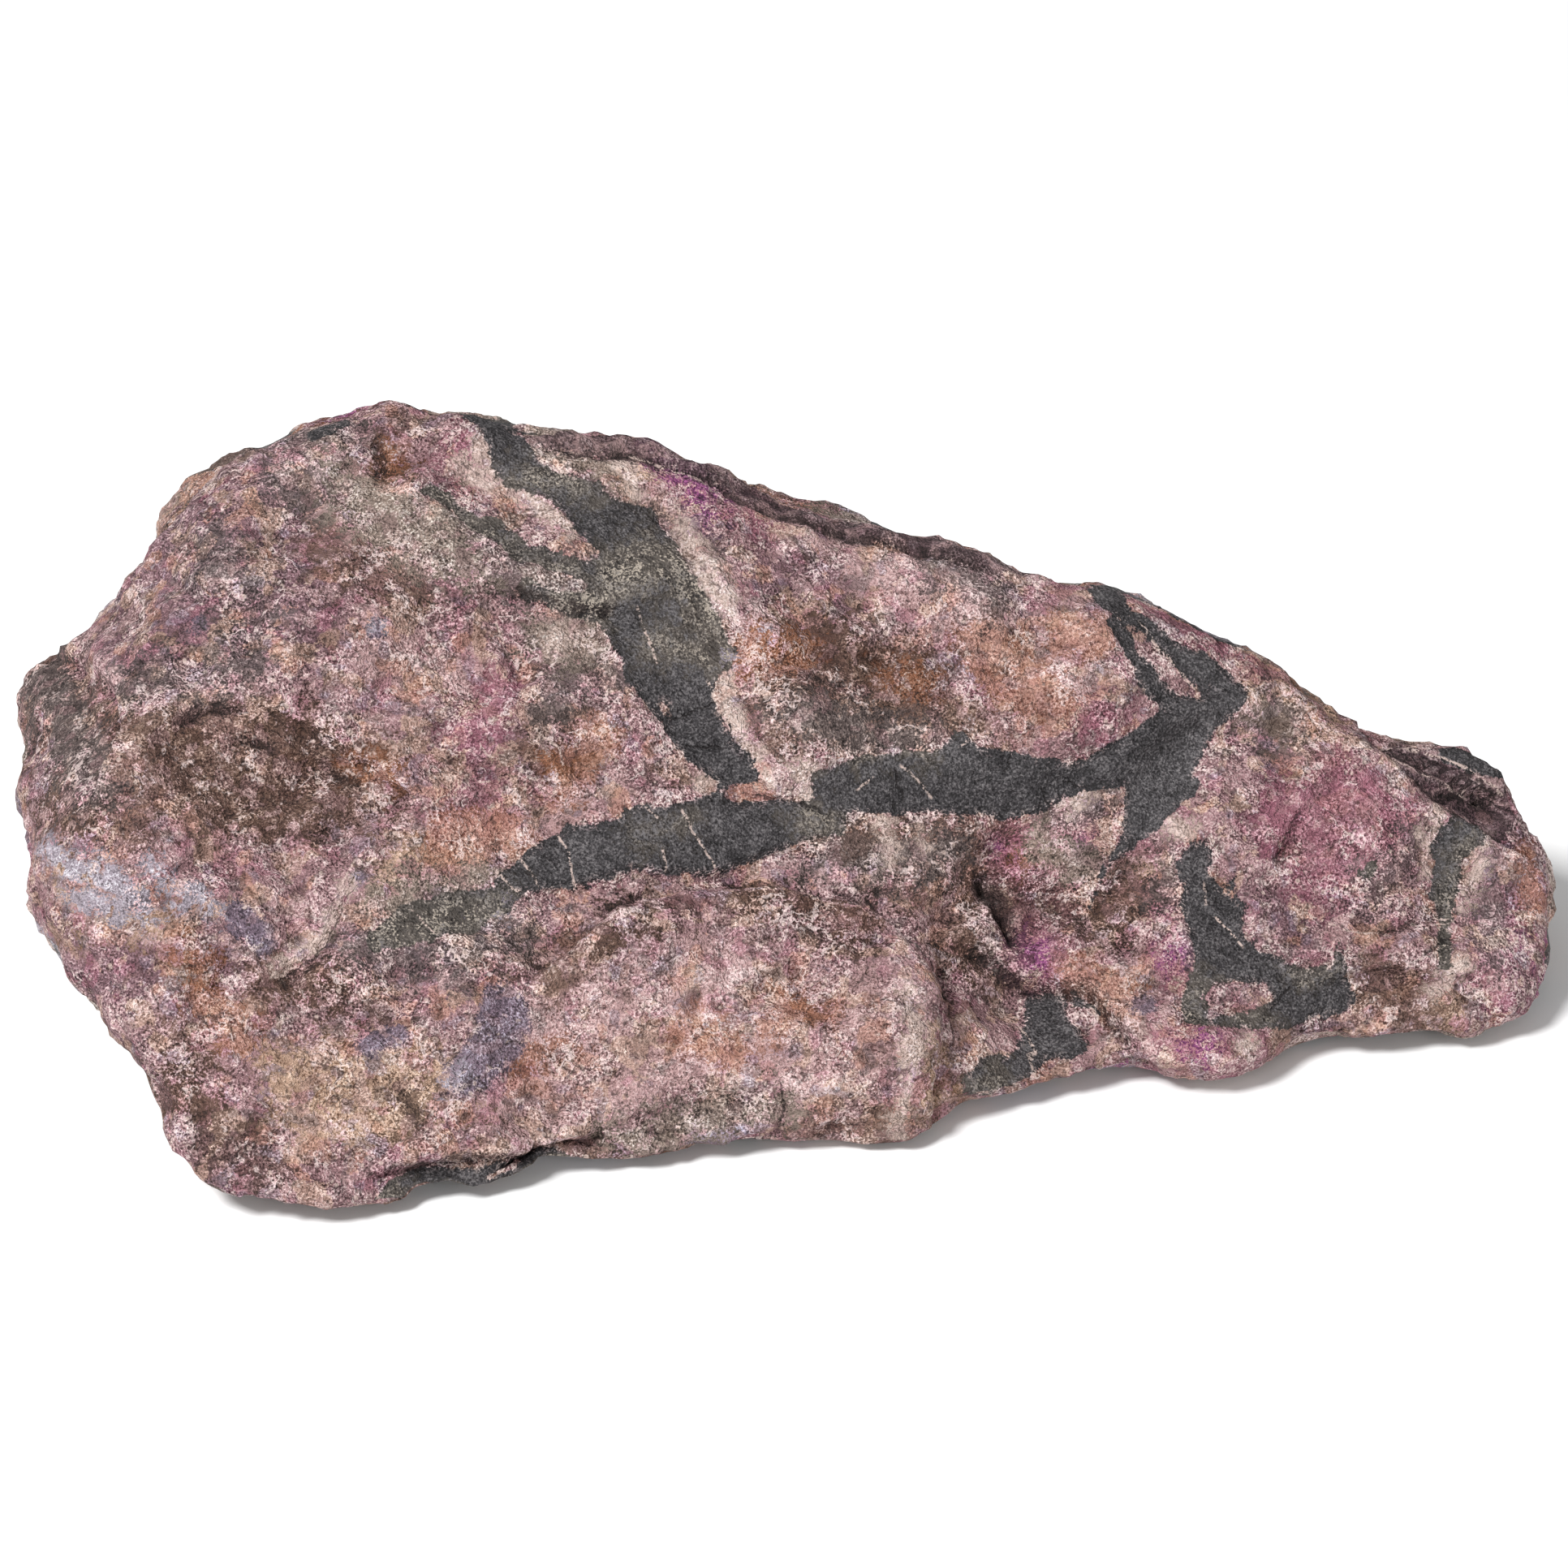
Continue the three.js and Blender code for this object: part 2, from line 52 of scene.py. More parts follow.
# The markings of the face, each a list of shapes. A point of two numbers, pixels across and down, is on the
# edge of an area. A point of three is on a stroke, and the third is the stroke's half width there.
MARKINGS = {
    "vein": [
        # the main vein, from the top edge down to its point
        [(566, 496), (600, 500), (625, 516), (650, 538), (660, 556), (683, 576), (722, 590), (742, 592),
         (746, 612), (768, 620), (800, 624), (818, 640), (836, 665), (846, 690), (862, 720), (884, 752),
         (900, 780), (906, 800), (900, 815), (885, 830), (880, 842), (884, 866), (893, 893), (905, 915),
         (928, 935), (937, 958), (930, 975), (890, 978), (884, 955), (852, 936), (835, 918), (820, 895),
         (803, 872), (790, 853), (775, 836), (762, 806), (748, 775), (728, 748), (722, 715), (730, 690),
         (728, 670), (715, 655), (703, 640), (690, 625), (670, 612), (650, 605), (630, 597), (617, 585),
         (608, 565), (604, 548), (590, 528), (575, 512)],
        # its two side branches
        [(525, 604, 7), (555, 616, 8), (580, 643, 9), (610, 655, 13), (640, 680, 13), (680, 690, 11),
         (700, 700, 11), (740, 705, 14)],
        [(650, 722, 7), (690, 738, 9), (725, 742, 14), (762, 742, 20)],
        # the left part of the vein across the middle
        [(608, 1086), (640, 1060), (655, 1043), (690, 1028), (702, 1018), (745, 1014), (762, 1008), (782, 993),
         (830, 990), (850, 984), (885, 974), (930, 974), (962, 982), (996, 988), (1016, 984), (1040, 990),
         (1042, 1026), (990, 1036), (940, 1055), (890, 1068), (870, 1073), (830, 1072), (780, 1068),
         (750, 1081), (700, 1092), (655, 1098), (640, 1102), (622, 1096)],
        # its right part, up to the wide grey end, and the tail of that end
        [(1000, 955), (1030, 940), (1062, 930), (1110, 924), (1150, 926), (1170, 906), (1190, 900),
         (1202, 914), (1215, 925), (1250, 926), (1290, 940), (1330, 944), (1362, 925), (1400, 900),
         (1430, 880), (1462, 853), (1500, 842), (1530, 848), (1536, 866), (1512, 888), (1494, 905),
         (1484, 930), (1470, 955), (1480, 968), (1455, 990), (1444, 1002), (1430, 1002), (1416, 1018),
         (1398, 1032), (1378, 1036), (1384, 1000), (1386, 968), (1340, 970), (1310, 985), (1282, 1000),
         (1240, 1010), (1200, 1002), (1150, 1000), (1110, 1002), (1060, 1000), (1012, 1002), (1002, 980)],
        [(1424, 985, 24), (1410, 1012, 18), (1394, 1036, 9), (1368, 1058, 3), (1356, 1080, 3),
         (1342, 1120, 2)],
        # the faded end of the left part
        [(468, 1158, 14), (510, 1136, 24), (570, 1124, 26), (618, 1108, 18)],
        # the upper right vein and the line beside it
        [(1354, 722, 10), (1368, 734, 18), (1382, 750, 11)],
        [(1388, 762, 5), (1400, 760, 6), (1418, 772, 8), (1440, 793, 10), (1455, 805, 14), (1480, 820, 20),
         (1500, 832, 16), (1526, 853, 13)],
        [(1372, 766, 5), (1390, 796, 7), (1408, 822, 12), (1426, 846, 14), (1446, 864, 13), (1470, 870, 8)],
        # the lower right vein
        [(1450, 1055), (1462, 1043), (1480, 1034), (1496, 1050), (1491, 1075), (1506, 1095), (1521, 1086),
         (1515, 1101), (1531, 1120), (1534, 1150), (1543, 1165), (1570, 1175), (1600, 1190), (1640, 1190),
         (1650, 1165), (1656, 1166), (1661, 1200), (1671, 1222), (1674, 1232), (1660, 1246), (1640, 1252),
         (1600, 1262), (1555, 1265), (1520, 1260), (1480, 1262), (1458, 1258), (1454, 1235), (1465, 1210),
         (1475, 1188), (1470, 1165), (1464, 1140), (1455, 1120), (1460, 1090), (1450, 1078)],
        # the patch at the bottom, and the wedge at the lower left
        [(1265, 1226), (1280, 1216), (1305, 1215), (1311, 1240), (1326, 1260), (1335, 1290), (1320, 1300),
         (1290, 1300), (1275, 1320), (1250, 1336), (1220, 1352), (1196, 1354), (1198, 1312), (1215, 1300),
         (1250, 1300), (1260, 1272), (1266, 1250)],
        [(1322, 1224, 9), (1346, 1234, 6)],
        [(455, 1490), (475, 1466), (505, 1450), (530, 1440), (590, 1440), (640, 1430), (690, 1416),
         (650, 1436), (610, 1455), (600, 1474), (540, 1488), (484, 1496)],
        # the vein of the right end, and the dark cap over it
        [(1794, 1000), (1830, 1014), (1831, 1036), (1802, 1056), (1800, 1090), (1791, 1112), (1786, 1150),
         (1781, 1196), (1770, 1196), (1769, 1170), (1775, 1140), (1770, 1112), (1760, 1105), (1769, 1062),
         (1764, 1040), (1776, 1020)],
        [(1765, 926), (1775, 914), (1815, 912), (1846, 932), (1860, 956), (1830, 952), (1790, 938)],
        [(385, 532, 6), (410, 522, 6), (425, 515, 5)],
        [(1690, 1072, 9), (1678, 1080, 7)],
    ],
    "island": [
        [(612, 610, 8), (640, 622, 16), (668, 640, 20), (690, 650, 10)],
        [(700, 676, 10), (730, 678, 10)],
        [(1408, 790, 5), (1440, 820, 7), (1478, 852, 7)],
        [(1482, 1228), (1500, 1206), (1560, 1209), (1571, 1232), (1542, 1246), (1492, 1250)],
        [(820, 865, 4), (828, 882, 4)],
        [(905, 975, 12), (950, 972, 14), (990, 962, 10)],
    ],
    "faded": [
        [(740, 740, 16), (762, 712, 34), (800, 690, 34), (845, 690, 22), (870, 745, 30), (890, 795, 22)],
        [(640, 590, 16), (690, 590, 24), (730, 600, 12)],
        [(690, 735, 26), (740, 745, 26)],
        [(530, 604, 12), (560, 632, 14), (600, 668, 16), (660, 700, 18), (700, 704, 16)],
        [(800, 790, 14), (850, 800, 16), (880, 810, 12)],
        [(470, 1150, 26), (550, 1128, 26), (610, 1122, 24)],
        [(1000, 1012, 20), (1020, 1020, 18)],
        [(800, 1026, 14), (850, 1010, 8)],
        [(1010, 930, 20), (1080, 920, 12), (1150, 920, 14)],
        [(1466, 1250, 16), (1478, 1215, 12), (1560, 1256, 10)],
        [(1610, 1192, 18), (1640, 1188, 10)],
        [(1690, 1072, 20)],
        [(1810, 1030, 12), (1788, 1080, 12), (1782, 1130, 10), (1776, 1192, 16)],
        [(1225, 1335, 24)],
        [(1340, 1232, 14)],
        [(480, 1480, 20)],
    ],
    "smoky": [
        [(560, 640, 16), (620, 700, 26), (690, 720, 30), (740, 720, 34)],
        [(720, 760, 20), (750, 810, 20), (760, 840, 10)],
        [(760, 640, 20), (840, 660, 22), (860, 720, 26), (880, 770, 20)],
        [(450, 1165, 18), (480, 1172, 18), (520, 1164, 14)],
        [(456, 1150), (500, 1116), (540, 1098), (600, 1092), (642, 1100), (632, 1138), (600, 1152),
         (540, 1162), (480, 1164)],
        [(1040, 915, 18), (1100, 905, 18), (1150, 905, 14)],
        [(1000, 1015, 26), (1040, 1000, 20)],
        [(960, 870, 20), (1010, 900, 26), (1060, 890, 22)],
        [(1020, 1050, 26), (1100, 1060, 26), (1170, 1050, 20)],
        [(1300, 1010, 16), (1360, 990, 12)],
        [(1500, 1190, 20), (1460, 1140, 10)],
        [(870, 670, 14), (880, 760, 14)],
        [(1560, 880, 24), (1590, 900, 20)],
        [(700, 840, 24), (680, 870, 20)],
        [(1690, 1100, 20), (1740, 1040, 14)],
        [(1440, 1060, 10), (1440, 1110, 10)],
        [(50, 830, 30), (80, 900, 30), (110, 960, 30)],
        [(340, 540, 20), (420, 530, 18)],
        [(560, 1180, 20), (640, 1150, 20)],
        [(1160, 700, 20), (1220, 730, 24)],
        [(255, 680, 26), (300, 720, 24)],
        [(165, 850, 20), (200, 835, 22), (255, 838, 18), (310, 812, 20)],
        [(360, 590, 26), (400, 600, 22)],
        [(290, 780, 16), (330, 760, 16)],
        [(1836, 1110, 15), (1846, 1180, 15)],
    ],
    # the veins' paler part: partly painted sheen where a smooth facet of the vein faces up into the light
    "grey": [
        [(1405, 945), (1440, 912), (1462, 886), (1530, 854), (1530, 865), (1498, 895), (1486, 930),
         (1468, 960), (1445, 1000), (1425, 1010), (1415, 1040), (1390, 1044), (1396, 1000), (1398, 965)],
        [(1462, 806, 10), (1490, 826, 10)],
        [(1362, 728, 12)],
    ],
    "brown": [
        [(150, 870), (250, 850), (330, 880), (440, 900), (480, 950), (470, 1000), (400, 1010), (330, 1030),
         (250, 1010), (170, 970), (130, 920)],
        [(30, 800, 30), (60, 860, 44), (110, 900, 40), (150, 960, 30)],
        [(80, 1000, 24), (150, 1020, 20)],
        [(960, 770), (1060, 770), (1130, 800), (1200, 860), (1240, 900), (1170, 920), (1060, 910), (990, 900),
         (940, 850)],
        [(700, 1160, 14), (770, 1136, 14)],
        [(940, 1110, 10), (1040, 1140, 20)],
        [(1050, 1040, 34), (1110, 1056, 44), (1180, 1046, 38), (1215, 1020, 14)],
        [(330, 1205, 22), (400, 1205, 24)],
        [(1190, 1120, 16), (1184, 1190, 12)],
        [(1380, 1100, 26), (1370, 1140, 18)],
        [(1690, 1215, 26), (1740, 1240, 24), (1770, 1215, 14)],
        [(440, 690, 30), (520, 720, 22)],
        [(440, 580, 20), (470, 620, 24), (500, 660, 20)],
        [(700, 900, 24), (680, 930, 18)],
        [(225, 1290, 18), (236, 1340, 22)],
        [(840, 950, 10)],
        [(940, 850, 28), (980, 890, 50), (1040, 900, 46)],
        [(430, 610, 20), (400, 640, 16)],
        [(640, 1185, 18), (700, 1190, 22)],
        [(1010, 1400, 20), (1100, 1400, 14)],
        [(620, 1430, 12), (760, 1420, 12)],
    ],
    "dark brown": [
        [(190, 890, 26), (250, 940, 34), (300, 975, 34), (360, 985, 26), (420, 960, 20)],
        [(330, 910, 24), (400, 925, 22)],
        [(100, 1000, 20), (70, 960, 18)],
        [(230, 1320, 20), (260, 1400, 20), (330, 1440, 16)],
        [(350, 1205, 14), (410, 1210, 18), (460, 1230, 12)],
        [(505, 1360, 14), (512, 1392, 12)],
        [(760, 1124, 4), (830, 1112, 4), (900, 1106, 5), (990, 1112, 5), (1040, 1136, 8)],
        [(956, 864, 24), (1000, 892, 42), (1080, 896, 34), (1160, 890, 16)],
        [(990, 800, 10), (1050, 820, 16), (1120, 820, 14)],
        [(1050, 1044, 22), (1120, 1044, 28), (1184, 1050, 24)],
        # the next two strokes darken the hollows beside the lobe, the second the deep shadowed one: painted
        # shade as well as dark brown
        [(1270, 1080, 14), (1300, 1106, 22), (1320, 1140, 16)],
        [(1216, 1090, 30), (1236, 1136, 30), (1240, 1176, 16)],
        [(1360, 1110, 16), (1375, 1150, 14)],
        [(700, 905, 10), (690, 935, 8)],
        [(465, 545, 8), (474, 575, 12), (462, 596, 6)],
        [(498, 505, 5), (492, 535, 5)],
        [(1010, 780, 10), (1060, 800, 14)],
        [(1130, 890, 14)],
        [(740, 1160, 8), (790, 1150, 8)],
        [(1000, 1150, 8), (1040, 1170, 10)],
        [(1205, 1160, 14), (1225, 1200, 12)],
        [(60, 840, 14), (120, 900, 14)],
    ],
    "rust": [
        [(440, 945, 10), (470, 960, 14)],
        [(905, 785, 12), (940, 800, 16), (980, 800, 12)],
        [(900, 828, 6), (914, 832, 6)],
        [(480, 560, 10), (476, 585, 9)],
        [(1288, 1046, 12), (1266, 1060, 10)],
        [(1050, 1025, 10), (1064, 1045, 10)],
        [(230, 1160, 10), (250, 1200, 14)],
        [(640, 1310, 8), (700, 1290, 8)],
        [(1010, 1240, 10), (960, 1210, 8)],
        [(690, 930, 12)],
        [(1140, 845, 14), (1100, 830, 10)],
    ],
    "orange": [
        [(235, 1225, 14), (270, 1245, 22), (295, 1275, 18)],
        [(920, 800, 22), (965, 815, 20), (990, 800, 14)],
        [(1210, 800, 34), (1260, 840, 34), (1300, 850, 24)],
        [(740, 900, 26), (700, 960, 20)],
        [(560, 1040, 36), (640, 1030, 20)],
        [(1330, 1205, 24), (1390, 1230, 26)],
        [(920, 970, 14), (950, 976, 12)],
        [(610, 1122, 8)],
        [(1350, 790, 20), (1310, 780, 20)],
        [(960, 1260, 20), (990, 1230, 12)],
        [(860, 1270, 26), (900, 1300, 20)],
        [(1882, 1050, 12), (1890, 1120, 12)],
    ],
    "cream": [
        [(834, 648, 5), (850, 668, 8), (868, 694, 13), (886, 724, 16), (898, 748, 11), (906, 768, 4)],
        [(344, 1190, 1), (372, 1170, 2), (396, 1148, 3), (412, 1120, 3), (426, 1092, 2), (440, 1068, 0)],
        [(896, 838, 7), (902, 878, 9), (918, 912, 7), (936, 936, 5)],
        [(676, 796, 8), (700, 774, 12), (732, 788, 10)],
        [(985, 950, 14), (1010, 960, 9)],
        [(950, 960, 10), (1000, 985, 8)],
        [(1168, 930, 8), (1182, 952, 9), (1196, 976, 8)],
        [(1090, 1012, 6), (1096, 1062, 7)],
        [(1112, 1225, 7), (1124, 1290, 9), (1118, 1350, 9), (1104, 1392, 6)],
        [(1537, 1290, 10)],
        [(1772, 1000, 5), (1758, 1030, 5), (1762, 1080, 4)],
        [(1836, 1024, 5), (1816, 1085, 7), (1806, 1106, 6)],
        [(1800, 1196, 8), (1764, 1222, 6)],
        [(590, 545, 10), (640, 600, 8), (700, 652, 8)],
        [(760, 560, 8), (785, 600, 7)],
        [(860, 975, 7), (872, 958, 6)],
        [(1312, 1000, 8), (1332, 984, 6)],
        [(1395, 925, 2.5), (1387, 975, 3)],
        [(1462, 1028, 8), (1442, 1012, 6)],
        [(1130, 1020, 5), (1140, 1045, 4)],
        [(1530, 1195, 4), (1560, 1190, 4)],
        [(570, 570, 10), (600, 590, 10)],
    ],
    "speckled": [
        [(400, 560), (470, 600), (540, 625), (590, 680), (600, 715), (540, 715), (470, 680), (415, 620)],
        [(655, 760), (720, 748), (760, 760), (752, 800), (720, 815), (670, 810), (640, 800)],
        [(650, 553, 14), (700, 556, 18), (740, 575, 14)],
        [(820, 1390, 24), (900, 1370, 24), (960, 1360, 16)],
        [(760, 1400, 18), (820, 1410, 18)],
        [(1290, 1040, 20), (1330, 1070, 20)],
        [(620, 1080, 10), (570, 1090, 14)],
        [(470, 1110, 14), (510, 1095, 12)],
    ],
    "magenta": [
        [(800, 560), (850, 575), (920, 600), (950, 620), (930, 650), (880, 640), (830, 610)],
        [(1200, 1010), (1280, 1010), (1350, 1020), (1340, 1100), (1290, 1110), (1220, 1090)],
        [(1235, 1140, 14), (1270, 1166, 26), (1310, 1186, 22)],
        [(1430, 1110, 16), (1446, 1150, 22), (1456, 1195, 20)],
        [(1450, 1285, 14), (1500, 1300, 16)],
        [(1570, 1000), (1640, 930), (1740, 990), (1750, 1060), (1690, 1110), (1620, 1110), (1570, 1080)],
        [(1590, 1000, 34), (1660, 1010, 34), (1710, 1020, 20)],
        [(1870, 1120, 14), (1866, 1170, 22), (1840, 1190, 22), (1850, 1240, 20)],
        [(1410, 735, 8), (1470, 765, 9), (1520, 795, 9), (1560, 825, 6)],
        [(1340, 890, 12), (1375, 895, 10)],
        [(570, 540, 16), (575, 600, 20)],
        [(1010, 1130, 14), (1040, 1140, 10)],
        [(620, 850, 20), (580, 900, 22)],
        [(590, 990, 22), (560, 1010, 16)],
    ],
    "violet": [
        [(806, 564, 9), (842, 580, 14), (880, 598, 14)],
        [(862, 620, 8), (870, 650, 6)],
        [(1222, 1048, 9)],
        [(1326, 1046, 9)],
        [(1240, 1168, 8), (1275, 1180, 10)],
        [(1454, 1172, 8)],
        [(1876, 1160, 6)],
        [(1480, 1296, 6)],
    ],
    "lavender": [
        [(596, 1222), (616, 1214), (645, 1224), (654, 1256), (640, 1294), (604, 1342), (560, 1352),
         (546, 1322), (574, 1288), (590, 1256)],
        [(455, 1285, 14), (492, 1276, 14)],
        [(462, 778, 8)],
        [(240, 765, 8)],
        [(300, 1130, 18), (320, 1160, 14)],
        [(910, 1395, 16), (860, 1410, 12)],
        [(440, 1080, 10)],
        [(1410, 1240, 14)],
    ],
    "crust": [
        [(58, 1046, 10), (90, 1066, 19), (130, 1080, 20), (160, 1104, 20), (180, 1128, 12)],
        [(96, 1100, 10), (140, 1120, 16)],
        [(190, 1070, 12), (206, 1090, 12)],
        [(218, 1112, 14), (240, 1094, 14), (256, 1118, 12)],
        [(572, 1322, 5), (558, 1336, 8)],
        [(612, 1126, 8), (625, 1114, 6)],
        [(906, 810, 5)],
        [(462, 776, 6)],
    ],
    "tan": [
        [(330, 1300), (400, 1280), (560, 1300), (560, 1370), (480, 1400), (400, 1400), (340, 1370)],
        [(500, 1060, 24), (480, 1100, 14)],
        [(745, 560, 12), (790, 590, 24), (800, 620, 10)],
        [(850, 680, 14), (862, 720, 14)],
        [(1550, 850, 24), (1610, 890, 24)],
        [(1780, 1240, 16)],
        [(1164, 1290, 16), (1154, 1350, 20)],
        [(80, 1060, 8), (120, 1130, 14), (180, 1130, 12)],
        [(1420, 1080, 14)],
    ],
    "pale": [
        [(660, 1240), (760, 1190), (900, 1170), (1030, 1200), (1100, 1240), (1100, 1340), (1040, 1400),
         (940, 1330), (820, 1340), (700, 1390), (620, 1400), (640, 1320)],
        [(400, 1340, 50), (500, 1350, 40)],
        [(520, 1040, 30), (620, 1000, 40)],
        [(1300, 820, 50), (1350, 780, 30)],
        [(620, 980, 24), (700, 990, 24)],
        [(1000, 650, 14), (1180, 760, 30), (1240, 790, 30)],
        [(480, 800, 40), (560, 830, 30)],
        [(1380, 1240, 40), (1460, 1300, 16)],
    ],
    "dusky": [
        [(140, 680), (260, 580), (400, 620), (430, 720), (400, 820), (250, 830), (130, 800)],
        [(940, 650), (1040, 660), (1080, 740), (1020, 780), (950, 770)],
        [(1560, 1110, 24), (1590, 1130, 20)],
        [(40, 860, 40), (50, 960, 30)],
        [(1848, 1050, 34), (1850, 1130, 44), (1850, 1220, 40)],
        [(1560, 900, 24), (1600, 960, 30), (1560, 1020, 20)],
        # darkens the deep hollow beside the lobe: painted shade
        [(1230, 1090, 24), (1240, 1140, 20)],
        [(150, 1300, 24), (200, 1380, 24)],
        [(640, 940, 30), (600, 920, 20)],
        [(100, 1180, 40), (180, 1200, 50), (280, 1180, 30)],
        [(560, 1180, 20), (700, 1150, 24), (760, 1170, 24)],
    ],
    "layered": [
        [(650, 530), (743, 528), (788, 534), (829, 550), (869, 560), (918, 582), (967, 604), (1049, 626),
         (1114, 650), (1171, 668), (1240, 690), (1270, 706), (1240, 710), (1171, 692), (1114, 674),
         (1049, 657), (1000, 647), (950, 627), (900, 604), (850, 584), (780, 562), (735, 560), (700, 553),
         (660, 543)],
        [(1695, 898), (1712, 892), (1754, 914), (1776, 906), (1850, 930), (1875, 980), (1880, 1012),
         (1850, 1034), (1800, 1004), (1760, 970), (1730, 950)],
    ],
    # painted shade: dark strokes in crevices, under ledges and in the hollow beside the lobe, which are also
    # carved in as folds
    "shade": [
        [(700, 556, 3), (780, 561, 4), (850, 584, 4), (900, 604, 4), (1000, 646, 4), (1114, 673, 4),
         (1240, 708, 3)],
        [(1212, 1084, 8), (1224, 1110, 15), (1234, 1140, 14), (1242, 1166, 6)],
        [(1206, 1176, 6), (1260, 1212, 4), (1340, 1218, 7), (1372, 1252, 5), (1400, 1288, 3)],
        [(1785, 966, 10), (1835, 982, 8)],
        [(1070, 1105, 4), (1090, 1122, 3)],
        [(1160, 1160, 4), (1178, 1220, 4)],
        [(354, 1208, 3), (392, 1180, 2), (420, 1144, 2)],
        [(480, 1442, 4), (560, 1430, 5), (640, 1424, 4), (700, 1408, 3)],
        [(496, 1346, 3), (508, 1372, 4), (520, 1392, 3)],
        [(640, 726, 3), (700, 744, 4), (760, 750, 3)],
        [(300, 905, 4), (340, 922, 3)],
        [(400, 945, 4), (440, 965, 5)],
        [(228, 880, 3), (260, 868, 4), (300, 872, 3)],
        [(1000, 830, 3), (1040, 842, 4)],
        [(740, 1120, 4), (800, 1096, 3)],
        [(1030, 1096, 4), (1060, 1110, 4)],
        [(640, 1442, 4), (720, 1430, 3)],
        [(1700, 1152, 3), (1775, 1124, 3)],
        [(465, 545, 4), (472, 580, 6)],
        [(745, 1316, 3), (760, 1318, 3)],
        [(800, 1395, 2.5), (815, 1397, 2.5)],
        [(850, 1370, 2.5), (872, 1374, 2.5)],
        [(900, 1352, 2.5), (925, 1356, 2.5)],
        [(1692, 912, 3), (1730, 952, 3), (1762, 976, 3), (1798, 1004, 2)],
    ],
}

# Thin lines, through points in pixels: cracks darkened with painted shade, and pale hairlines that also cross
# the veins.
LINES = {
    "crack": [
        [(830, 885), (858, 871), (882, 861)], [(850, 915), (890, 918)], [(935, 978), (980, 986), (1020, 1002)],
        [(1105, 952), (1107, 966), (1112, 985)], [(1246, 928), (1241, 950)], [(1285, 975), (1294, 990)],
        [(1318, 968), (1336, 970)], [(1592, 1214), (1580, 1230), (1564, 1252)],
        [(1640, 1240), (1620, 1250), (1600, 1262)], [(1570, 1058), (1584, 1030), (1598, 1004)],
        [(962, 1335), (966, 1368), (958, 1400)], [(1752, 1176), (1776, 1160), (1790, 1158)],
        [(1700, 904), (1750, 922), (1800, 946), (1852, 984)],
        [(1712, 918), (1760, 942), (1810, 968), (1850, 1000)], [(1760, 930), (1816, 948), (1866, 992)],
        [(344, 1204), (380, 1180), (406, 1150), (420, 1120)],
        [(1112, 1140), (1150, 1180), (1176, 1230), (1180, 1290)],
    ],
    "hairline": [
        [(612, 1074), (624, 1088), (635, 1100)], [(645, 1062), (654, 1076), (661, 1090)],
        [(700, 1050), (708, 1088)], [(690, 1030), (700, 1046)], [(790, 990), (810, 1006)],
        [(843, 1000), (860, 1030), (872, 1048), (884, 1066)], [(818, 1048), (822, 1070)],
        [(1114, 945), (1132, 962), (1146, 980)], [(1060, 970), (1074, 960)],
        [(788, 748), (800, 780), (810, 812)], [(874, 840), (884, 862)], [(1484, 1090), (1486, 1110)],
        [(1260, 1262), (1276, 1290)], [(1268, 1300), (1276, 1320)], [(1772, 1130), (1790, 1134)],
        [(1772, 1142), (1790, 1146)], [(660, 900), (690, 920), (694, 945)], [(612, 760), (624, 800)],
        [(1186, 918), (1200, 905)], [(512, 1122), (536, 1148)], [(1500, 1130), (1530, 1160)],
        [(336, 1200), (366, 1180), (390, 1160), (404, 1130), (416, 1096), (436, 1060)],
        [(350, 1196), (384, 1172), (410, 1142), (424, 1112), (436, 1082)],
        [(362, 1184), (396, 1158), (410, 1124), (430, 1086)],
        [(1706, 898), (1756, 918), (1806, 940), (1854, 972)], [(1722, 930), (1780, 956), (1830, 986)],
        [(700, 1290), (724, 1320), (720, 1360)], [(780, 560), (860, 590), (930, 640), (1000, 660)],
        [(560, 880), (600, 930), (660, 960)], [(1084, 1010), (1096, 1040), (1098, 1070)],
        [(520, 1000), (560, 975), (600, 962)], [(420, 620), (450, 655), (500, 668)],
        [(1600, 1120), (1660, 1146), (1710, 1150)], [(1406, 768), (1440, 806), (1476, 846)],
    ],
}
FURTHEST = 12.0  # millimetres from a marking past which its distance isn't kept

